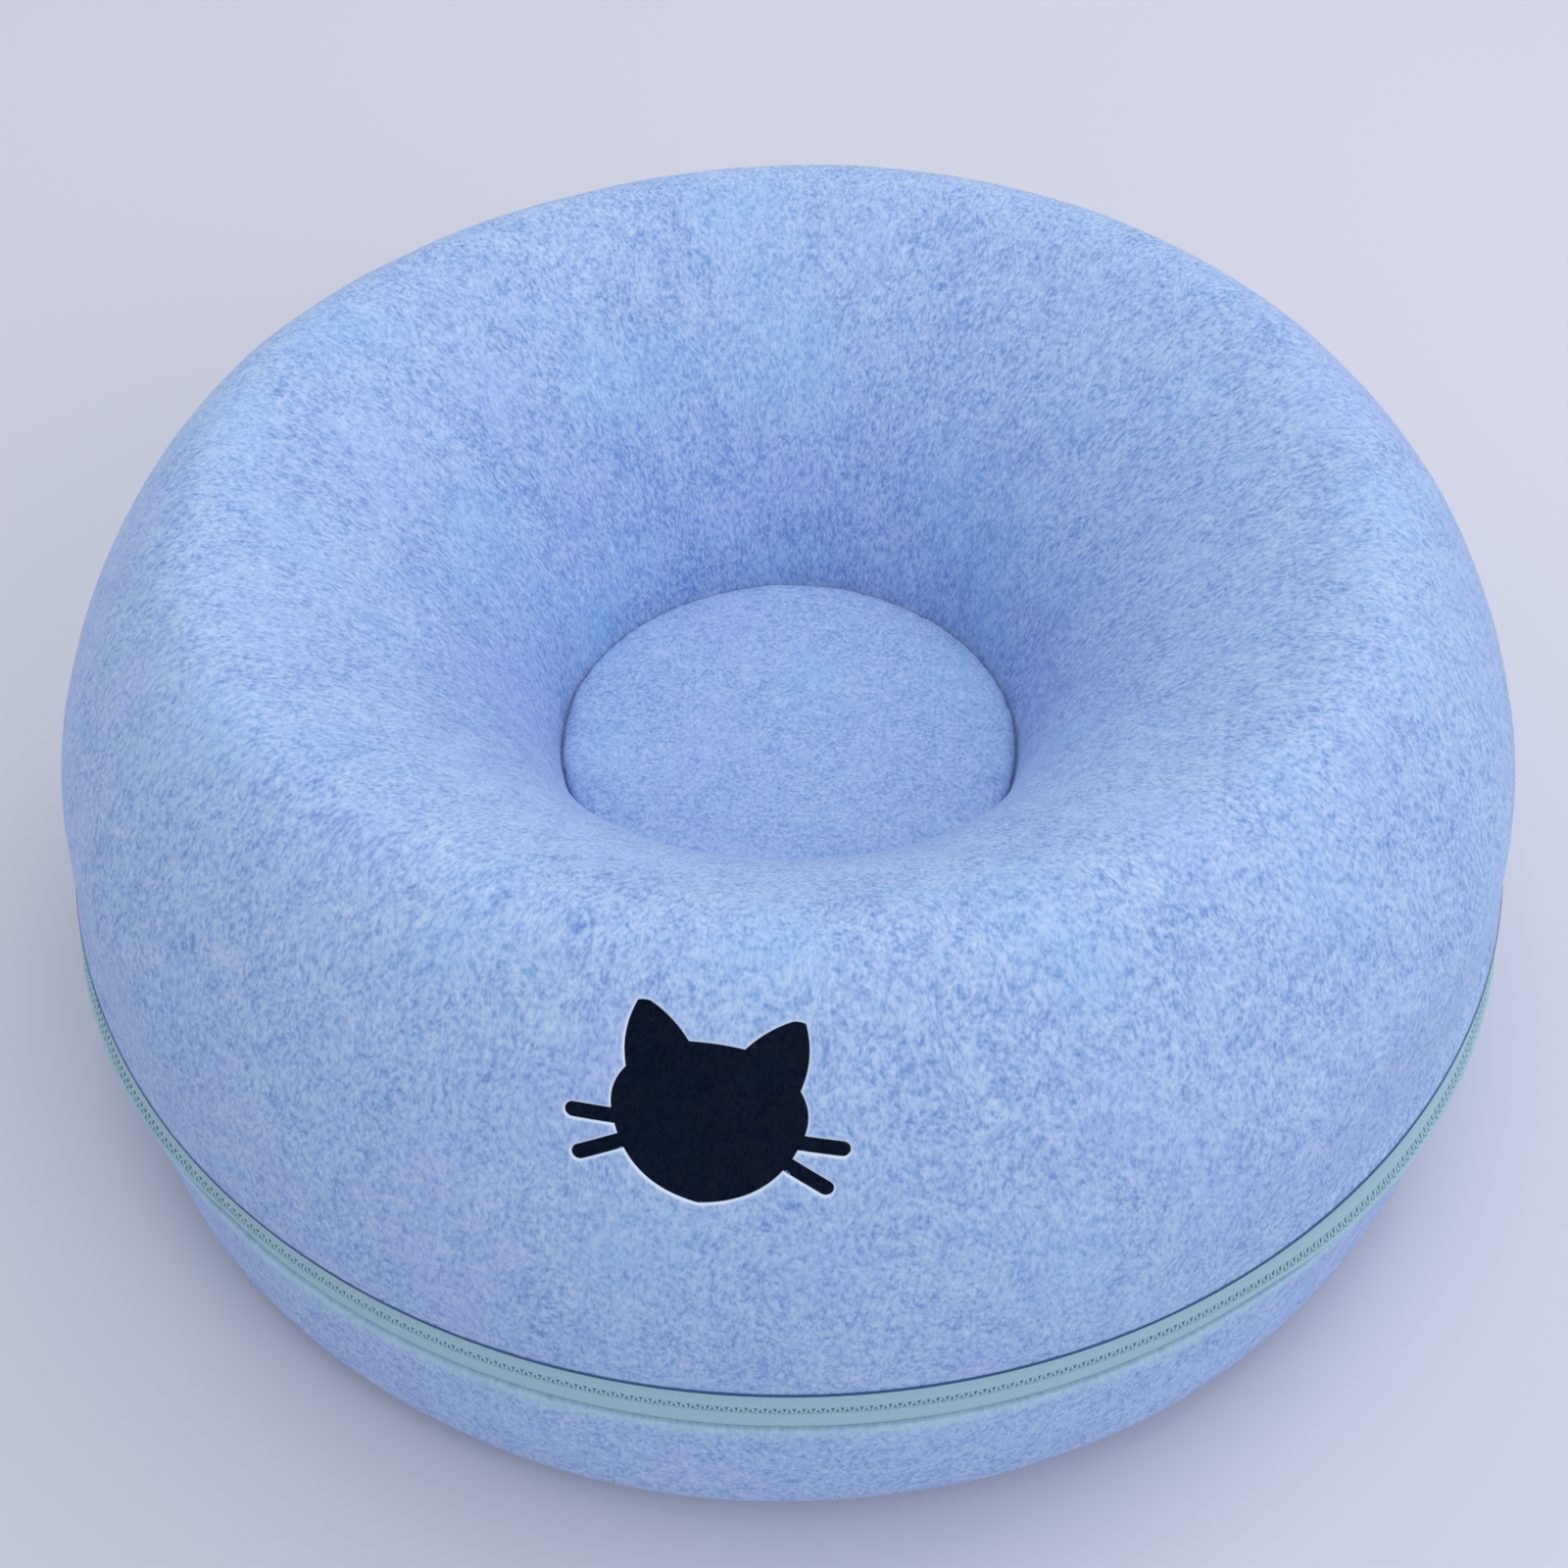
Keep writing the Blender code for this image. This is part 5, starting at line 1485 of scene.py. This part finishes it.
class CATBED_OT_stage(bpy.types.Operator):
    """Set up the floor, the soft lamps and the camera"""
    bl_idname = "catbed.stage"
    bl_label = "Stage"

    def execute(self, context):
        scene, stage = context.scene, context.scene.catbed_stage
        scene.view_settings.view_transform = 'Standard'
        paper = floor_material("backdrop paper", tuple(stage.floor), tuple(stage.far_floor_painted_light))
        corners = [(x * FLOOR_HALF, y * FLOOR_HALF, 0) for x, y in ((-1, -1), (1, -1), (1, 1), (-1, 1))]
        floor = mesh_object("paper_floor", corners, [[0, 1, 2, 3]], paper)
        floor.location.z = -FLOOR_DROP
        for name, place, size, watts, colour in LAMPS:
            lamp = bpy.data.lights.new(name, 'AREA')
            lamp.size, lamp.energy, lamp.color = size, watts, hex_colour(colour)[:3]
            lamp_object = placed(name, lamp)
            lamp_object.location = place
            lamp_object.rotation_euler = (Vector(place) - LAMP_AIM).to_track_quat('Z', 'Y').to_euler()
        world = scene.world or bpy.data.worlds.new("soft_sky")
        scene.world = world
        world.use_nodes = True
        background = world.node_tree.nodes["Background"]
        background.inputs["Color"].default_value = tuple(stage.sky)
        background.inputs["Strength"].default_value = stage.sky_strength
        data = bpy.data.cameras.new("camera")
        data.sensor_width = SENSOR
        data.lens = stage.focal_pixels / PHOTO_WIDTH * SENSOR
        data.shift_x = CAMERA_SHIFT_PIXELS / PHOTO_WIDTH
        camera = placed("camera", data)
        camera.location = (stage.camera_out * math.sin(stage.camera_turn),
                           -stage.camera_out * math.cos(stage.camera_turn), stage.camera_height)
        level = math.pi / 2
        camera.rotation_euler = (level - stage.camera_dip, 0, stage.camera_turn)
        scene.camera = camera
        return {'FINISHED'}


SETTINGS = {"catbed_felt": FeltSettings, "catbed_openings": OpeningSettings, "catbed_pad": PadSettings,
            "catbed_zip": ZipSettings, "catbed_stage": StageSettings}
STEPS = (CATBED_OT_stage, CATBED_OT_lid_shell, CATBED_OT_tray_shell, CATBED_OT_centre_pad, CATBED_OT_zip_tapes,
         CATBED_OT_zip_coils, CATBED_OT_hinge_tab, CATBED_OT_sewing, CATBED_OT_slider)


class CATBED_PT_panel(bpy.types.Panel):
    """Sizes, colours and steps of the cat cave bed"""
    bl_idname = "CATBED_PT_panel"
    bl_label = "Cat Cave Bed"
    bl_space_type = 'VIEW_3D'
    bl_region_type = 'UI'
    bl_category = "Cat Cave Bed"

    def draw(self, context):
        for step in STEPS:
            self.layout.operator(step.bl_idname)
        for name in SETTINGS:
            box = self.layout.box()
            settings = getattr(context.scene, name)
            for field in settings.bl_rna.properties:
                if field.identifier not in ("name", "rna_type"):
                    box.prop(settings, field.identifier)


def register():
    """Register the settings, the steps and the panel."""
    for name, settings in SETTINGS.items():
        bpy.utils.register_class(settings)
        setattr(bpy.types.Scene, name, bpy.props.PointerProperty(type=settings))
    for step in STEPS:
        bpy.utils.register_class(step)
    bpy.utils.register_class(CATBED_PT_panel)


def unregister():
    """Take back what register added."""
    bpy.utils.unregister_class(CATBED_PT_panel)
    for step in reversed(STEPS):
        bpy.utils.unregister_class(step)
    for name, settings in reversed(SETTINGS.items()):
        delattr(bpy.types.Scene, name)
        bpy.utils.unregister_class(settings)


def main():
    """Register the settings, steps and panel, and make each piece."""
    register()
    for step in STEPS:
        group, name = step.bl_idname.split(".")
        getattr(getattr(bpy.ops, group), name)()


if __name__ == "__main__":
    main()
